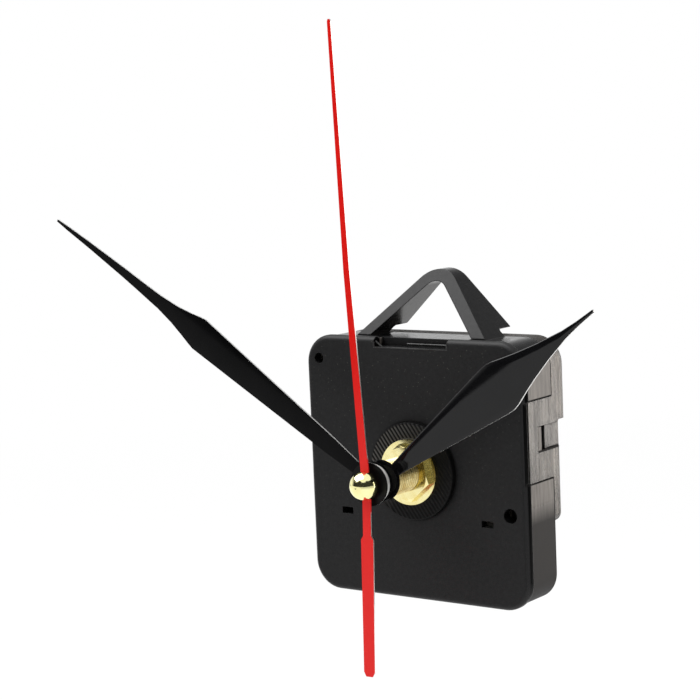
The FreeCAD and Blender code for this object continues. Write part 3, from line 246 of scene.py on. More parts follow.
# Smoke-tinted cover, whose sides are streaked
smoke_dark = (0.04, 0.031, 0.021)
smoke_light = (0.62, 0.55, 0.475)
smoke_plain = (0.45, 0.42, 0.38)
# Painted shade: darker top faces, and rims darkened where the cover is seen edge-on
smoke_top_shade = (0.03, 0.022, 0.016)
smoke_rim_shade = (0.03, 0.025, 0.02)
smoke_rim_view = (0.4, 0.9)
smoke_rim_share = 0.8
# Painted shade in the cover's gaps and in a shadow line under the latch window
smoke_shade = (0.004, 0.003, 0.003)
smoke_specular = 0.28
smoke_transmission = 0.82
smoke_ior = 1.55
smoke_top_facing = (0.3, 0.7)
smoke_line_patch = 0.8 * mm
smoke_line_stretch = (1.0, 1.0, 0.07)
smoke_cloud_patch = 1.6 * mm
smoke_cloud_stretch = (1.0, 1.0, 0.2)
smoke_cloud_share = 0.5
smoke_side_patch = 1.4 * mm
smoke_side_detail = 2.5
smoke_side_stretch = (1.0, 1.0, 0.16)
smoke_side_roughness = (0.07, 0.36)
smoke_plain_patch = 4.0 * mm
smoke_plain_roughness = (0.03, 0.08)
smoke_top_roughness = 0.6
smoke_wave_patch = 1.8 * mm
smoke_wave_stretch = (1.0, 1.0, 0.3)
smoke_wave_depth = 0.05 * mm
smoke_wave_strength = 0.45
latch_front = 5.9 * mm
latch_front_blur = 0.05 * mm
# Painted shadow line along the latch window's lower edge
latch_bottom = 4.95 * mm
latch_shadow_half = 0.32 * mm

# Rubber, with a painted highlight on the crests of its ribs at the upper left
rubber_dark = (0.003, 0.003, 0.003)
rubber_light = (0.005, 0.005, 0.005)
rib_highlight = (0.08, 0.077, 0.072)
rubber_specular = 0.1
rubber_patch = 1.0 * mm
rubber_gloss_patch = 0.8 * mm
rubber_roughness = (0.4, 0.5)
rubber_grain = 0.2 * mm
rubber_grain_depth = 0.02 * mm
rubber_grain_strength = 0.4
# The painted highlight fades in towards the upper left, on the rib crests inside the outer border
rib_highlight_direction = (-0.8, 0.0, 0.6)
rib_highlight_fade = (-1.0 * mm, 9.0 * mm)
rib_highlight_level = 0.06 * mm
rib_highlight_blur = 0.05 * mm
rib_highlight_border = 0.2 * mm

# Plain mouldings
moulded_patch = 3.0 * mm
moulded_gloss_patch = 0.8 * mm
moulded_grain = 0.4 * mm
moulded_grain_depth = 0.02 * mm
moulded_grain_strength = 0.4

# Painted sheet, bare along its cut edges away from the hub
sheet_bare = (0.80, 0.80, 0.79)
sheet_roughness = 0.45
sheet_edge_facing = (0.35, 0.2)
paint_patch = 7.0 * mm
paint_gloss_patch = 2.0 * mm
paint_peel_patch = 0.8 * mm
paint_peel_depth = 0.006 * mm
paint_peel_strength = 0.3
paint_hub_radius = 5.5 * mm
paint_hub_blur = 1.0 * mm
# Painted light: a lighter colour below the hub, fading into the paint up to this height
painted_light_fade = (0.0, 30.0 * mm)

# Bare metals
metal_patch = 1.6 * mm
metal_gloss_patch = 0.6 * mm
metal_grain_depth = 0.01 * mm
metal_grain_strength = 0.6
brass_light = (0.95, 0.87, 0.46)
brass_dark = (0.90, 0.78, 0.35)
# Painted shade in the thread roots
thread_root_shade = (0.17, 0.12, 0.035)
thread_light = (0.84, 0.72, 0.36)
thread_dark = (0.66, 0.50, 0.20)
thread_roughness = (0.24, 0.34)
thread_grain = 0.3 * mm
thread_grain_depth = 0.003 * mm
thread_grain_strength = 0.4

# Collet of the minute hand, whose front flange carries the hand's paint
paint_black = (0.003, 0.003, 0.003)
collet_light = (0.72, 0.72, 0.69)
collet_dark = (0.60, 0.60, 0.57)
collet_metallic = 0.15
collet_specular = 0.12
collet_patch = 1.2 * mm
collet_roughness = (0.3, 0.42)
collet_grain = 0.2 * mm
collet_grain_depth = 0.004 * mm
collet_grain_strength = 0.4
collet_paint_depth = 0.34 * mm
collet_paint_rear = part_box("minute_hand_collet")[0].y + collet_paint_depth
collet_paint_blur = 0.02 * mm


class Nodes:
    """The shader nodes of a material or of the world, which are added and filled one by one."""

    def __init__(self, tree):
        self.tree = tree

    def fill(self, socket, value):
        """Link a socket to another node's output, or give it a number, a vector or a colour."""
        if isinstance(value, bpy.types.NodeSocket):
            self.tree.links.new(value, socket)
        elif socket.type == "RGBA":
            socket.default_value = (*value, 1.0)
        else:
            socket.default_value = value

    def add(self, kind, inputs=None, **settings):
        """Add a node with its settings, and fill its inputs, which go by name or by number."""
        node = self.tree.nodes.new(kind)
        for name, value in settings.items():
            setattr(node, name, value)
        for key, value in (inputs or {}).items():
            self.fill(node.inputs[key], value)
        return node

    def math(self, operation, *values):
        """Return the result of one operation on one or two values."""
        node = self.add("ShaderNodeMath", dict(enumerate(values)), operation=operation)
        return node.outputs["Value"]

    def product(self, first, *others):
        """Return values multiplied together: for masks, this is 1 where all of them are."""
        for other in others:
            first = self.math("MULTIPLY", first, other)
        return first

    def largest(self, first, *others):
        """Return the largest of some values: for masks, this is 1 where any of them is."""
        for other in others:
            first = self.math("MAXIMUM", first, other)
        return first

    def dot(self, vector, axis):
        """Return how far a vector reaches along an axis."""
        node = self.add("ShaderNodeVectorMath", {0: vector, 1: axis}, operation="DOT_PRODUCT")
        return node.outputs["Value"]

    def length(self, vector):
        return self.add("ShaderNodeVectorMath", {0: vector}, operation="LENGTH").outputs["Value"]

    def remap(self, value, start, end, low=0.0, high=1.0):
        """Return a value that goes from low to high while another goes from start to end."""
        inputs = {"Value": value, "From Min": start, "From Max": end, "To Min": low, "To Max": high}
        return self.add("ShaderNodeMapRange", inputs).outputs["Result"]

    def blend(self, data_type, socket_type, factor, first, second):
        """Return a mix: the first at factor 0, the second at 1."""
        node = self.add("ShaderNodeMix", {"Factor": factor}, data_type=data_type)
        # The node has sockets for every type, and the last two inputs of a type are what it mixes.
        ends = [socket for socket in node.inputs if socket.type == socket_type][-2:]
        self.fill(ends[0], first)
        self.fill(ends[1], second)
        return [socket for socket in node.outputs if socket.type == socket_type][0]

    def blend_values(self, factor, first, second):
        return self.blend("FLOAT", "VALUE", factor, first, second)

    def blend_colors(self, factor, first, second):
        return self.blend("RGBA", "RGBA", factor, first, second)

    def blend_normals(self, factor, first, second):
        return self.blend("VECTOR", "VECTOR", factor, first, second)


class Surface(Nodes):
    """A material around one Principled shader, whose colour and roughness come from patterns."""

    def __init__(self, name, metallic=0.0, specular=usual_specular):
        self.material = bpy.data.materials.new(name)
        self.material.use_nodes = True
        super().__init__(self.material.node_tree)
        self.shader = self.tree.nodes["Principled BSDF"]
        self.set("Metallic", metallic)
        self.set("Specular IOR Level", specular)
        place = self.add("ShaderNodeTexCoord")
        self.point = place.outputs["Object"]
        self.outward = place.outputs["Normal"]
        self.normal = None

    def set(self, name, value):
        """Fill one of the shader's inputs."""
        self.fill(self.shader.inputs[name], value)

    def set_normal(self, normal):
        """Shade with a normal, and add the next relief to it."""
        self.normal = normal
        self.set("Normal", normal)

    def noise(self, size, detail=soft_detail, stretch=None):
        """Return a noise value whose patches are about size metres wide."""
        place = self.point
        if stretch is not None:
            mapping = self.add("ShaderNodeMapping", {"Vector": place, "Scale": stretch})
            place = mapping.outputs["Vector"]
        inputs = {"Vector": place, "Scale": 1.0 / size, "Detail": detail}
        return self.add("ShaderNodeTexNoise", inputs).outputs["Fac"]

    def varied(self, size, low, high, detail=fine_detail, stretch=None):
        """Return a value that varies between two values in patches of a size."""
        return self.remap(self.noise(size, detail, stretch), *noise_range, low, high)

    def patches(self, size, first, second, stretch=None):
        """Return a colour that varies between two colours in patches of a size."""
        return self.blend_colors(self.varied(size, 0.0, 1.0, stretch=stretch), first, second)

    def dots(self, spacing, radius):
        """Return 1 in small scattered dots and 0 elsewhere."""
        node = self.add("ShaderNodeTexVoronoi", {"Vector": self.point, "Scale": 1.0 / spacing})
        share = radius / spacing
        return self.remap(node.outputs["Distance"], dot_core * share, share, 1.0, 0.0)

    def facing(self, axis, start, end):
        """Return 1 where the surface faces along an axis of the object, either way, and 0 elsewhere."""
        return self.remap(self.math("ABSOLUTE", self.dot(self.outward, axis)), start, end)

    def along(self, axis, start, end):
        """Return a value that goes from 0 to 1 between two levels along an axis of the object."""
        return self.remap(self.dot(self.point, axis), start, end)

    def past(self, axis, level, blur):
        """Return 1 past a level along an axis of the object, and 0 before it."""
        return self.along(axis, level - blur, level + blur)

    def before(self, level, blur):
        """Return 1 on the dial side of a level along Y, and 0 behind it."""
        return self.past(toward_dial, -level, blur)

    def clear_of(self, axis, level, half_width):
        """Return 0 on a line across an axis of the object at a level, and 1 away from it."""
        offset = self.math("SUBTRACT", self.dot(self.point, axis), level)
        return self.remap(self.math("ABSOLUTE", offset), line_core * half_width, half_width)

    def from_axis(self, start, end):
        """Return a value that goes from 0 to 1 between two distances from the hand axis."""
        inputs = {0: self.point, 1: across_hand_axis}
        flat = self.add("ShaderNodeVectorMath", inputs, operation="MULTIPLY").outputs["Vector"]
        return self.remap(self.length(flat), start, end)

    def crevice_shade_mask(self):
        """Return 0 in narrow gaps and inner corners, where shade is painted, and 1 on open faces."""
        inputs = {"Distance": shade_reach}
        node = self.add("ShaderNodeAmbientOcclusion", inputs, samples=occlusion_samples)
        return self.remap(node.outputs["AO"], *shade_fade)

    def rim(self, start, end, share):
        """Return 0 where the surface is seen square on, rising to a share where it turns away."""
        weight = self.add("ShaderNodeLayerWeight").outputs["Facing"]
        return self.remap(weight, start, end, 0.0, share)

    def curve(self, value, points):
        """Return the height of an outline of straight runs at a value between 0 and 1."""
        node = self.add("ShaderNodeFloatCurve", {"Value": value})
        knots = node.mapping.curves[0].points
        knots[0].location = points[0]
        knots[1].location = points[-1]
        for place, height in points[1:-1]:
            knots.new(place, height)
        for knot in knots:
            knot.handle_type = "VECTOR"
        node.mapping.update()
        return node.outputs["Value"]

    def from_hand_edge(self):
        """Return the distance, in metres, from the nearer long edge of the hour hand."""
        sine = math.sin(hour_hand_angle)
        cosine = math.cos(hour_hand_angle)
        reach = self.dot(self.point, (sine, 0.0, cosine))
        offset = self.math("ABSOLUTE", self.dot(self.point, (-cosine, 0.0, sine)))
        width = self.curve(self.product(reach, 1.0 / hour_hand_length), hour_outline)
        return self.math("SUBTRACT", self.product(width, hour_hand_half_width), offset)

    def soften_edges(self, radius):
        """Round the sharp edges in the shading, as moulded edges are."""
        self.set_normal(self.add("ShaderNodeBevel", {"Radius": radius}).outputs["Normal"])

    def bumped(self, height, depth, strength):
        """Return the shading's normal with a relief added, whose height runs from 0 to 1."""
        node = self.add("ShaderNodeBump", {"Height": height, "Distance": depth, "Strength": strength})
        if self.normal is not None:
            self.fill(node.inputs["Normal"], self.normal)
        return node.outputs["Normal"]

    def bump(self, height, depth, strength=1.0):
        """Add a relief of a depth in metres to the shading."""
        self.set_normal(self.bumped(height, depth, strength))

    def lean(self, slope, mask):
        """Lean the surface, where the mask is 1, as if it rose by a slope along each axis."""
        leaning = self.bumped(self.dot(self.point, slope), depth=1.0, strength=1.0)
        self.set_normal(self.blend_normals(mask, self.normal, leaning))


def case_shade_mask(surface, wall):
    """Return 0 where shade is painted, in the case's gaps and as shadow lines on the seams of its
    walls, and 1 elsewhere.
    """
    seam_shadows = surface.product(
        surface.clear_of(axis_z, band_top, seam_shadow_half),
        surface.clear_of(axis_z, band_bottom, seam_shadow_half),
        surface.clear_of(axis_y, case_rear, seam_shadow_half),
    )
    return surface.product(surface.crevice_shade_mask(), surface.blend_values(wall, 1.0, seam_shadows))


def case_color(surface, front, wall, lip_side, reflected_streaks):
    """Return the case's black, with specks on the dial face, streaks of painted reflection on the upper
    walls and painted shade on the lip's side.
    """
    height = surface.along(axis_z, *speck_fade)
    specks = surface.product(surface.dots(speck_spacing, speck_radius), front, height)
    color = surface.patches(case_patch, case_dark, case_light)
    color = surface.blend_colors(specks, color, case_speck)
    # Painted reflection: light upright streaks on the walls
    streaked = surface.blend_colors(reflected_streaks, case_dull, case_reflection_streak)
    color = surface.blend_colors(wall, color, streaked)
    # Painted shade: the lip's side is blacker
    return surface.blend_colors(lip_side, color, lip_shade)


def textured_case():
    """Black moulding: the dial face is spark textured, and the walls are smoother and glossier."""
    surface = Surface("case_black", specular=case_specular)
    front = surface.facing(axis_y, *case_front_facing)
    side = surface.facing(axis_x, *side_facing)
    top = surface.facing(axis_z, *case_top_facing)
    lip = surface.before(lip_rear, lip_blur)
    lip_side = surface.product(side, lip)
    wall = surface.product(side, surface.past(axis_y, lip_rear, lip_blur))
    # Above a height the walls take the painted reflection streaks; below it they stay dull and rough
    upper_wall = surface.past(axis_z, upper_wall_from, upper_wall_blur)
    streak = surface.noise(streak_patch, streak_detail, streak_stretch)
    streak = surface.remap(streak, *streak_noise, *streak_share)
    grain = surface.noise(grain_patch)
    shade_mask = case_shade_mask(surface, wall)

    color = case_color(surface, front, wall, lip_side, surface.product(streak, upper_wall))
    # Painted shade: black in the gaps, inner corners and wall seams
    surface.set("Base Color", surface.blend_colors(shade_mask, black, color))

    rough = surface.remap(streak, 0.0, 1.0, *streak_roughness)
    rough = surface.blend_values(upper_wall, lower_wall_roughness, rough)
    lip_rough = surface.blend_values(top, lip_roughness, lip_top_roughness)
    rough = surface.blend_values(lip, rough, lip_rough)
    face_rough = surface.remap(grain, *noise_range, *face_roughness)
    rough = surface.blend_values(front, rough, face_rough)
    surface.set("Roughness", surface.blend_values(shade_mask, shade_roughness, rough))

    # The side of the lip has a draft: it leans forwards and upwards, and so mirrors the dark room.
    surface.soften_edges(case_edge_radius)
    surface.lean(lip_draft, lip_side)
    surface.bump(surface.product(grain, front), grain_depth, grain_strength)
    surface.bump(surface.noise(ripple_patch), ripple_depth, ripple_strength)
    return surface.material


def smoke_cover():
    """Smoke-tinted clear moulding with upright flow lines, and painted shade on its top faces, along
    its rims and in its gaps.
    """
    surface = Surface("cover_smoke", specular=smoke_specular)
    surface.set("Transmission Weight", smoke_transmission)
    surface.set("IOR", smoke_ior)
    side = surface.facing(axis_x, *side_facing)
    top = surface.facing(axis_z, *smoke_top_facing)
    latch_side = surface.product(side, surface.past(axis_y, latch_front, latch_front_blur))
    latch_shadow = surface.clear_of(axis_z, latch_bottom, latch_shadow_half)
    shade_mask = surface.product(surface.crevice_shade_mask(), surface.blend_values(latch_side, 1.0, latch_shadow))

    color = surface.patches(smoke_line_patch, smoke_dark, smoke_light, smoke_line_stretch)
    cloud = surface.varied(smoke_cloud_patch, 0.0, smoke_cloud_share, soft_detail, smoke_cloud_stretch)
    color = surface.blend_colors(cloud, color, smoke_dark)
    color = surface.blend_colors(side, smoke_plain, color)
    # Painted shade: top faces darker, and rims darker where seen edge-on
    color = surface.blend_colors(top, color, smoke_top_shade)
    color = surface.blend_colors(surface.rim(*smoke_rim_view, smoke_rim_share), color, smoke_rim_shade)
    # Painted shade: dark in gaps and in a line under the latch window
    surface.set("Base Color", surface.blend_colors(shade_mask, smoke_shade, color))

    streaked = surface.varied(
        smoke_side_patch, *smoke_side_roughness, smoke_side_detail, smoke_side_stretch,
    )
    plain = surface.varied(smoke_plain_patch, *smoke_plain_roughness, soft_detail)
    rough = surface.blend_values(side, plain, streaked)
    rough = surface.blend_values(top, rough, smoke_top_roughness)
    surface.set("Roughness", surface.blend_values(shade_mask, shade_roughness, rough))

    wave = surface.noise(smoke_wave_patch, stretch=smoke_wave_stretch)
    surface.bump(wave, smoke_wave_depth, smoke_wave_strength)
    return surface.material


def ribbed_rubber():
    """Dull black rubber, with a lighter painted highlight on the crests of its ribs at the upper left.
    """
    surface = Surface("rubber_black", specular=rubber_specular)
    rib_lit = surface.product(
        surface.along(rib_highlight_direction, *rib_highlight_fade),
        surface.before(washer_front + rib_highlight_level, rib_highlight_blur),
        surface.from_axis(washer_rib_outer, washer_rib_outer - rib_highlight_border),
    )
    plain = surface.patches(rubber_patch, rubber_dark, rubber_light)
    # Painted highlight: lighter rib crests at the upper left
    surface.set("Base Color", surface.blend_colors(rib_lit, plain, rib_highlight))
    surface.set("Roughness", surface.varied(rubber_gloss_patch, *rubber_roughness))
    surface.bump(surface.noise(rubber_grain), rubber_grain_depth, rubber_grain_strength)
    return surface.material


def moulded(name, light, dark, roughness, grain=moulded_grain, specular=usual_specular):
    """Plain plastic, with soft variation and a fine grain."""
    surface = Surface(name, specular=specular)
    surface.set("Base Color", surface.patches(moulded_patch, light, dark))
    surface.set("Roughness", surface.varied(moulded_gloss_patch, *roughness))
    surface.bump(surface.noise(grain), moulded_grain_depth, moulded_grain_strength)
    return surface.material


def painted(name, light, dark, roughness, specular, bare_from=paint_hub_radius,
            rolled=False, below_painted_light=None):
    """Sprayed paint on sheet metal with a faint orange peel, and edges cut bare away from the hub.

    Rolled adds the hour hand's rolled edges. The colour given for what lies below the hub is painted
    light, fading into the paint higher up.
    """
    surface = Surface(name, specular=specular)
    blade = surface.from_axis(bare_from, bare_from + paint_hub_blur)
    edge = surface.product(surface.facing(axis_y, *sheet_edge_facing), blade)
    paint = surface.patches(paint_patch, light, dark)
    if below_painted_light is not None:
        # Painted light: lighter colour below the hub, fading upwards
        paint = surface.blend_colors(surface.along(axis_z, *painted_light_fade), below_painted_light, paint)
    gloss = surface.varied(paint_gloss_patch, *roughness, soft_detail)
    surface.set("Base Color", surface.blend_colors(edge, paint, sheet_bare))
    surface.set("Metallic", edge)
    surface.set("Roughness", surface.blend_values(edge, gloss, sheet_roughness))
    if rolled:
        # The face falls away towards each edge, ever more steeply, by a wide roll and a narrow burr.
        distance = surface.from_hand_edge()
        for width, depth in ((edge_roll_width, edge_roll_depth), (edge_burr_width, edge_burr_depth)):
            near = surface.remap(distance, width, 0.0)
            surface.bump(surface.product(near, near, -1.0), depth)
    surface.bump(surface.noise(paint_peel_patch), paint_peel_depth, paint_peel_strength)
    return surface.material


def metal(name, light, dark, roughness, grain, stretch=None, depth=metal_grain_depth):
    """Bare metal, whose grain a stretch turns into the marks of turning or rolling."""
    surface = Surface(name, metallic=1.0)
    surface.set("Base Color", surface.patches(metal_patch, light, dark))
    surface.set("Roughness", surface.varied(metal_gloss_patch, *roughness, stretch=stretch))
    surface.bump(surface.noise(grain, fine_detail, stretch), depth, metal_grain_strength)
    return surface.material


def threaded_brass():
    """Turned brass whose thread roots are coloured dark as painted shade."""
    surface = Surface("brass_thread", metallic=1.0)
    crest = surface.patches(metal_patch, thread_light, thread_dark)
    height = surface.from_axis(thread_root, thread_crest)
    # Painted shade: the colour darkens from crest to root
    surface.set("Base Color", surface.blend_colors(height, thread_root_shade, crest))
    surface.set("Roughness", surface.varied(metal_gloss_patch, *thread_roughness))
    marks = surface.noise(thread_grain, fine_detail, turned_stretch)
    surface.bump(marks, thread_grain_depth, thread_grain_strength)
    return surface.material


def painted_collet():
    """Turned aluminium whose front flange carries the hand's black paint."""
    surface = Surface("collet_painted", specular=collet_specular)
    bare = surface.patches(collet_patch, collet_light, collet_dark)
    front = surface.before(collet_paint_rear, collet_paint_blur)
    surface.set("Base Color", surface.blend_colors(front, bare, paint_black))
    surface.set("Metallic", surface.remap(front, 0.0, 1.0, collet_metallic, 0.0))
    surface.set("Roughness", surface.varied(metal_gloss_patch, *collet_roughness))
    marks = surface.noise(collet_grain, fine_detail, turned_stretch)
    surface.bump(marks, collet_grain_depth, collet_grain_strength)
    return surface.material


def add_object(name, data):
    """Put a mesh, curve, lamp or camera into the scene."""
    item = bpy.data.objects.new(name, data)
    bpy.context.scene.collection.objects.link(item)
    return item


def add_piece(name, mesh, material):
    """Put a smooth mesh of one material into the scene."""
    mesh.materials.clear()
    mesh.materials.append(material)
    mesh.shade_smooth()
    return add_object(name, mesh)


def ring_grid(name, rows, segments, material, place):
    """Return a closed tube of rows, where place(row, angle) gives the point of each row."""
    points = []
    for row in range(rows):
        for segment in range(segments):
            points.append(place(row, full_turn * segment / segments))
    faces = []
    for row in range(rows):
        low = row * segments
        high = ((row + 1) % rows) * segments
        for segment in range(segments):
            following = (segment + 1) % segments
            faces.append((low + segment, high + segment, high + following, low + following))
    mesh = bpy.data.meshes.new(name)
    mesh.from_pydata(points, [], faces)
    piece = add_piece(name, mesh, material)
    mesh.set_sharp_from_angle(angle=smooth_angle)
    return piece


def around_axis(radius, y, angle):
    """Return the point at an angle around the hand axis."""
    return (radius * math.cos(angle), y, radius * math.sin(angle))


def thread_bush(material):
    """The bush with its real helical thread, from the chamfered front end to the flange."""
    step = thread_pitch / thread_rows_per_pitch
    thread_rows = int((bush_wall_front - bush_front) / step)
    profile = [(bush_bore, bush_flange_rear, False), (bush_bore, bush_front, False)]
    for row in range(thread_rows + 1):
        profile.append((thread_crest, bush_front + row * step, True))
    profile.append((thread_crest, bush_wall_front, False))
    profile.append((thread_crest, bush_flange_front, False))
    profile.append((bush_flange_radius, bush_flange_front, False))
    profile.append((bush_flange_radius, bush_flange_rear, False))

    def place(row, angle):
        radius, y, threaded = profile[row]
        if threaded:
            # The wave is 0 in the root and 1 on the crest, and the chamfer cuts it at the front.
            turned = (y / thread_pitch + angle / full_turn) % 1.0
            wave = min(1.0, max(0.0, thread_flank_slope * abs(turned - 0.5) - thread_root_share))
            radius = thread_root + (thread_crest - thread_root) * wave
            radius = min(radius, thread_crest - thread_chamfer + (y - bush_front))
        return around_axis(radius, y, angle)

    return ring_grid("bush_thread", len(profile), bush_segments, material, place)


def ribbed_washer(material):
    """The rubber washer, punched from a sheet with straight ribs that grip the dial."""
    rings = [(washer_bore, washer_rear, 0.0), (washer_bore, washer_front, 0.0)]
    rings.append((washer_rib_inner, washer_front, 0.0))
    for row in range(1, washer_rib_rows + 1):
        radius = washer_rib_inner + (washer_rib_outer - washer_rib_inner) * row / washer_rib_rows
        rings.append((radius, washer_front, washer_rib_depth))
    rings.append((washer_outer, washer_front + washer_chamfer, 0.0))
    rings.append((washer_outer, washer_rear, 0.0))

    def place(row, angle):
        radius, y, depth = rings[row]
        across = radius * math.sin(angle - washer_rib_angle)
        groove = 0.5 - 0.5 * math.cos(full_turn * across / washer_rib_pitch)
        share = washer_depth_mean + washer_depth_sway * math.cos(angle - washer_deepest_angle)
        return around_axis(radius, y + depth * share * groove, angle)

    return ring_grid("washer_ribs", len(rings), washer_segments, material, place)


def wound_coil(material):
    """The coil's turns, laid side by side as one helix on a sleeve."""
    turns = int((coil_high - coil_low) / coil_wire)
    wound_rows = turns * coil_rows_per_turn
    rows = [(coil_inner, coil_high), (coil_inner, coil_low)]
    for row in range(wound_rows + 1):
        rows.append((None, coil_low + (coil_high - coil_low) * row / wound_rows))

    def place(row, angle):
        radius, z = rows[row]
        if radius is None:
            turned = ((z - coil_low) / coil_wire + angle / full_turn) % 1.0
            radius = coil_outer - coil_wire / 2 + coil_wire / 2 * math.sin(math.pi * turned)
        x = coil_centre.x + radius * math.cos(angle)
        y = coil_centre.y + radius * math.sin(angle)
        return (x, y, z)

    return ring_grid("coil_wire", len(rows), coil_segments, material, place)


def stand_in(piece, node_name, body):
    """Let a detailed piece take the place of a solid and ride on its body."""
    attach(piece, body)
    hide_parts(node_name)


def bead(name, path, radius, material):
    """A thin round moulding along a path."""
    curve = bpy.data.curves.new(name, "CURVE")
    curve.dimensions = "3D"
    curve.bevel_depth = radius
    curve.bevel_resolution = bead_resolution
    curve.use_fill_caps = True
    spline = curve.splines.new("POLY")
    spline.points.add(len(path) - 1)
    for point, place in zip(spline.points, path):
        point.co = (*place, 1.0)
    source = add_object(name + "_path", curve)
    bpy.context.view_layer.update()
    mesh = bpy.data.meshes.new_from_object(source.evaluated_get(bpy.context.evaluated_depsgraph_get()))
    bpy.data.objects.remove(source)
    mesh.name = name
    return add_piece(name, mesh, material)


def pocket_mouldings(material):
    """The raised rim around the pocket's mouth, and the bar and brace inside it."""
    left, right = -pocket_half_width, pocket_half_width
    low, high = pocket_floor, pocket_rim_top
    front = pocket_bead_front
    bar_level = low + pocket_bar_rise
    rim = [(left, front, high), (left, front, low), (right, front, low), (right, front, high)]
    bar = [(pocket_bar_left, pocket_bar_inset, bar_level), (right, pocket_bar_inset, bar_level)]
    brace = [(left, pocket_brace_inset, high), (left + pocket_brace_run, pocket_brace_inset, low)]
    for name, path in (("pocket_rim", rim), ("pocket_bar", bar), ("pocket_brace", brace)):
        piece = bead(name, path, pocket_bead_radius, material)
        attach(piece, "movement")


class Backdrop(Nodes):
    """Nodes for the world and the floor, which look plain white behind the part."""

    def __init__(self, tree):
        super().__init__(tree)
        rays = self.add("ShaderNodeLightPath").outputs
        self.glossy = rays["Is Glossy Ray"]
        self.direct = self.largest(rays["Is Camera Ray"], rays["Is Transmission Ray"])

    def glow(self, kind, strength=1.0):
        """Return a white glow from a node that has a colour and a strength."""
        return self.add(kind, {"Color": white, "Strength": strength}).outputs[0]

    def mix(self, factor, first, second):
        """Return a mix of two shaders: the first at factor 0, the second at 1."""
        return self.add("ShaderNodeMixShader", {0: factor, 1: first, 2: second}).outputs["Shader"]


def make_world():
    """White behind the part and low down, dark in front of it at eye level, as in a photo studio."""
    world = bpy.data.worlds.new("studio")
    bpy.context.scene.world = world
    world.use_nodes = True
    world.node_tree.nodes.clear()
    sky = Backdrop(world.node_tree)
    direction = sky.add("ShaderNodeTexCoord").outputs["Generated"]
    height = sky.dot(direction, axis_z)
    behind = sky.remap(sky.dot(direction, room_behind), *room_behind_edge)
    behind = sky.product(behind, sky.remap(height, *room_behind_fade, 1.0, room_behind_high))
    low = sky.remap(height, *room_horizon, 1.0, 0.0)
    cloud = sky.add("ShaderNodeTexNoise", {"Vector": direction, "Scale": room_cloud_scale})
    ragged = sky.remap(cloud.outputs["Fac"], *room_cloud_noise, -room_cloud_depth, room_cloud_depth)
    high = sky.remap(sky.math("ADD", height, ragged), *room_ceiling_edge)
    # The camera sees plain white, glossy faces see the room, and all else gets its even light.
    mirrored = sky.glow("ShaderNodeBackground", sky.largest(behind, low, high, room_dark))
    lit = sky.mix(sky.glossy, sky.glow("ShaderNodeBackground", room_light), mirrored)
    seen = sky.mix(sky.direct, lit, sky.glow("ShaderNodeBackground"))
    sky.add("ShaderNodeOutputWorld", {"Surface": seen})


def floor_material():
    """Pale and matt under the part, white to the camera further out, and partly white in mirrors."""
    material = bpy.data.materials.new("floor_white")
    material.use_nodes = True
    ground = Backdrop(material.node_tree)
    shader = ground.tree.nodes["Principled BSDF"]
    ground.fill(shader.inputs["Base Color"], floor_color)
    ground.fill(shader.inputs["Roughness"], floor_roughness)
    place = ground.add("ShaderNodeTexCoord").outputs["Object"]
    whiteness = ground.remap(ground.length(place), *floor_fade, floor_white, 1.0)
    seen = ground.product(ground.direct, whiteness)
    right = ground.dot(place, axis_x)
    front = ground.remap(right, *floor_right_edge, floor_mirrored_front, floor_mirrored_right)
    behind = ground.remap(ground.dot(place, axis_y), *floor_behind_edge)
    front = ground.product(front, ground.math("SUBTRACT", 1.0, behind))
    mirrored = ground.math("ADD", front, ground.product(behind, floor_mirrored_behind))
    share = ground.largest(seen, ground.product(ground.glossy, mirrored))
    mixed = ground.mix(share, shader.outputs["BSDF"], ground.glow("ShaderNodeEmission"))
    ground.fill(ground.tree.nodes["Material Output"].inputs["Surface"], mixed)
    return material


def make_floor():
    """One wide plate, low enough for the hands to turn above it."""
    corners = ((-1, -1), (1, -1), (1, 1), (-1, 1))
    points = [(x * floor_half, y * floor_half, floor_height) for x, y in corners]
    mesh = bpy.data.meshes.new("floor")
    mesh.from_pydata(points, [], [(0, 1, 2, 3)])
    mesh.materials.append(floor_material())
    floor = add_object("floor", mesh)


def make_light(name, place, aim, size, power, color=white):
    """A softbox that lights the part but isn't seen by the camera."""
    light = bpy.data.lights.new(name, "AREA")
    light.color = color
    light.shape = "RECTANGLE"
    light.size, light.size_y = size
    light.energy = power
    lamp = add_object(name, light)
    lamp.location = place
    lamp.rotation_mode = "QUATERNION"
    lamp.rotation_quaternion = (Vector(aim) - Vector(place)).to_track_quat("-Z", "Y")
    lamp.visible_camera = False


def make_camera():
    """The camera of the photograph, turned a little about its own line of sight."""
    forward = (camera_aim - camera_place).normalized()
    level = forward.cross(Vector(axis_z)).normalized()
    upright = level.cross(forward)
    right = math.cos(camera_roll) * level + math.sin(camera_roll) * upright
    up = right.cross(forward)
    data = bpy.data.cameras.new("camera")
    data.lens = camera_lens
    data.sensor_width = camera_sensor
    data.clip_start = camera_near
    data.clip_end = camera_far
    camera = add_object("camera", data)
    turn = Matrix((right, up, -forward)).transposed()
    camera.matrix_world = Matrix.Translation(camera_place) @ turn.to_4x4()
    bpy.context.scene.camera = camera


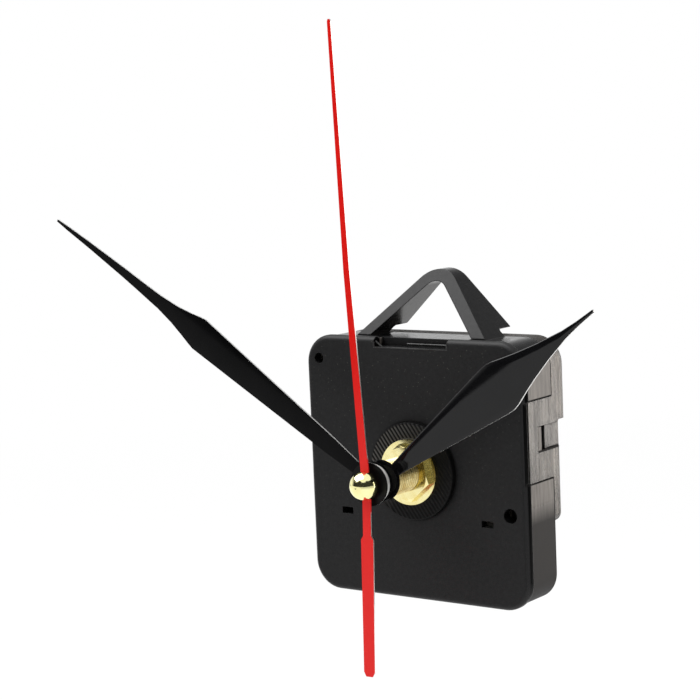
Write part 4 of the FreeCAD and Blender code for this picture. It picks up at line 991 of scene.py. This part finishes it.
# The materials, most of them with a light and a dark colour and their lowest and highest roughness
case_black = textured_case()
cover_smoke = smoke_cover()
rubber = ribbed_rubber()
case_trim = moulded("case_trim", (0.010, 0.010, 0.010), (0.016, 0.016, 0.016), (0.25, 0.35))
collet_black = moulded(
    "collet_black", (0.003, 0.003, 0.003), (0.005, 0.005, 0.005), (0.4, 0.5), specular=collet_specular,
)
acetal = moulded("acetal_white", (0.78, 0.78, 0.75), (0.70, 0.70, 0.66), (0.3, 0.42))
plate_white = moulded("plate_white", (0.74, 0.74, 0.70), (0.66, 0.66, 0.61), (0.35, 0.5))
bobbin_plastic = moulded("bobbin_cream", (0.70, 0.66, 0.54), (0.60, 0.56, 0.44), (0.35, 0.5))
board_green = moulded(
    "board_green", (0.03, 0.16, 0.07), (0.02, 0.11, 0.05), (0.25, 0.35), grain=0.3 * mm,
)
resin_black = moulded("resin_black", (0.012, 0.012, 0.012), (0.018, 0.018, 0.018), (0.12, 0.25))
hour_black = painted(
    "hand_black", (0.003, 0.003, 0.0034), (0.004, 0.004, 0.0045), (0.08, 0.12), specular=0.3,
    bare_from=16.0 * mm, rolled=True,
)
minute_black = painted(
    "minute_black", (0.002, 0.002, 0.0022), (0.003, 0.003, 0.0032), (0.14, 0.2), specular=0.06,
)
hand_red = painted(
    "hand_red", (0.66, 0.006, 0.003), (0.62, 0.005, 0.003), (0.3, 0.42), specular=0.08,
    below_painted_light=(0.70, 0.026, 0.024),
)
collet_painted = painted_collet()
brass_thread = threaded_brass()
brass_turned = metal(
    "brass_turned", brass_light, brass_dark, (0.16, 0.3), grain=0.3 * mm, stretch=turned_stretch,
)
brass_stamped = metal(
    "brass_stamped", brass_light, brass_dark, (0.13, 0.18), grain=3.0 * mm, depth=0.001 * mm,
)
brass_polished = metal(
    "brass_polished", (0.98, 0.94, 0.52), (0.96, 0.90, 0.44), (0.08, 0.13), grain=2.0 * mm,
)
steel = metal(
    "steel_strip", (0.45, 0.45, 0.44), (0.34, 0.34, 0.33), (0.25, 0.4), grain=0.2 * mm,
    stretch=rolled_stretch,
)
iron = metal("soft_iron", (0.50, 0.49, 0.47), (0.38, 0.37, 0.35), (0.35, 0.5), grain=0.3 * mm)
can_plating = metal("can_plating", (0.75, 0.75, 0.74), (0.62, 0.62, 0.62), (0.12, 0.2), grain=0.6 * mm)
magnet = metal("magnet_grey", (0.22, 0.22, 0.23), (0.15, 0.15, 0.16), (0.4, 0.55), grain=0.3 * mm)
copper_wire = metal(
    "copper_enamel", (0.72, 0.30, 0.11), (0.56, 0.20, 0.06), (0.2, 0.34), grain=0.4 * mm,
)

node_materials = {
    "front_case": case_black,
    "rear_cover": cover_smoke,
    "middle_plate": plate_white,
    "threaded_bush": brass_thread,
    "rubber_washer": rubber,
    "brass_washer": brass_stamped,
    "hex_nut": brass_stamped,
    "hour_wheel": acetal,
    "minute_wheel": acetal,
    "minute_pipe": brass_turned,
    "centre_wheel": acetal,
    "third_wheel": acetal,
    "second_wheel": acetal,
    "second_arbor": steel,
    "intermediate_wheel": acetal,
    "rotor_pinion": acetal,
    "rotor_magnet": magnet,
    "stator": iron,
    "coil_core": iron,
    "coil_bobbin": bobbin_plastic,
    "coil_winding": copper_wire,
    "circuit_board": board_green,
    "quartz_crystal": can_plating,
    "chip_cap": resin_black,
    "positive_contact": steel,
    "negative_contact": steel,
    "setting_knob": acetal,
    "hour_hand": hour_black,
    "hour_hand_collet": collet_black,
    "minute_hand": minute_black,
    "minute_hand_collet": collet_painted,
    "second_hand": hand_red,
    "second_hand_tube": brass_turned,
    "second_hand_cap": brass_polished,
}
for node_name, node_material in node_materials.items():
    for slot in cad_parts[node_name].material_slots:
        slot.material = node_material

stand_in(thread_bush(brass_thread), "threaded_bush", "movement")
stand_in(ribbed_washer(rubber), "rubber_washer", "movement")
stand_in(wound_coil(copper_wire), "coil_winding", "movement")
pocket_mouldings(case_trim)

make_world()
make_floor()
make_light("top_softbox", top_box_place, top_box_aim, top_box_size, top_box_power)
make_light("side_softbox", side_box_place, side_box_aim, side_box_size, side_box_power, side_box_color)
make_camera()

bpy.context.scene.view_settings.view_transform = "Standard"
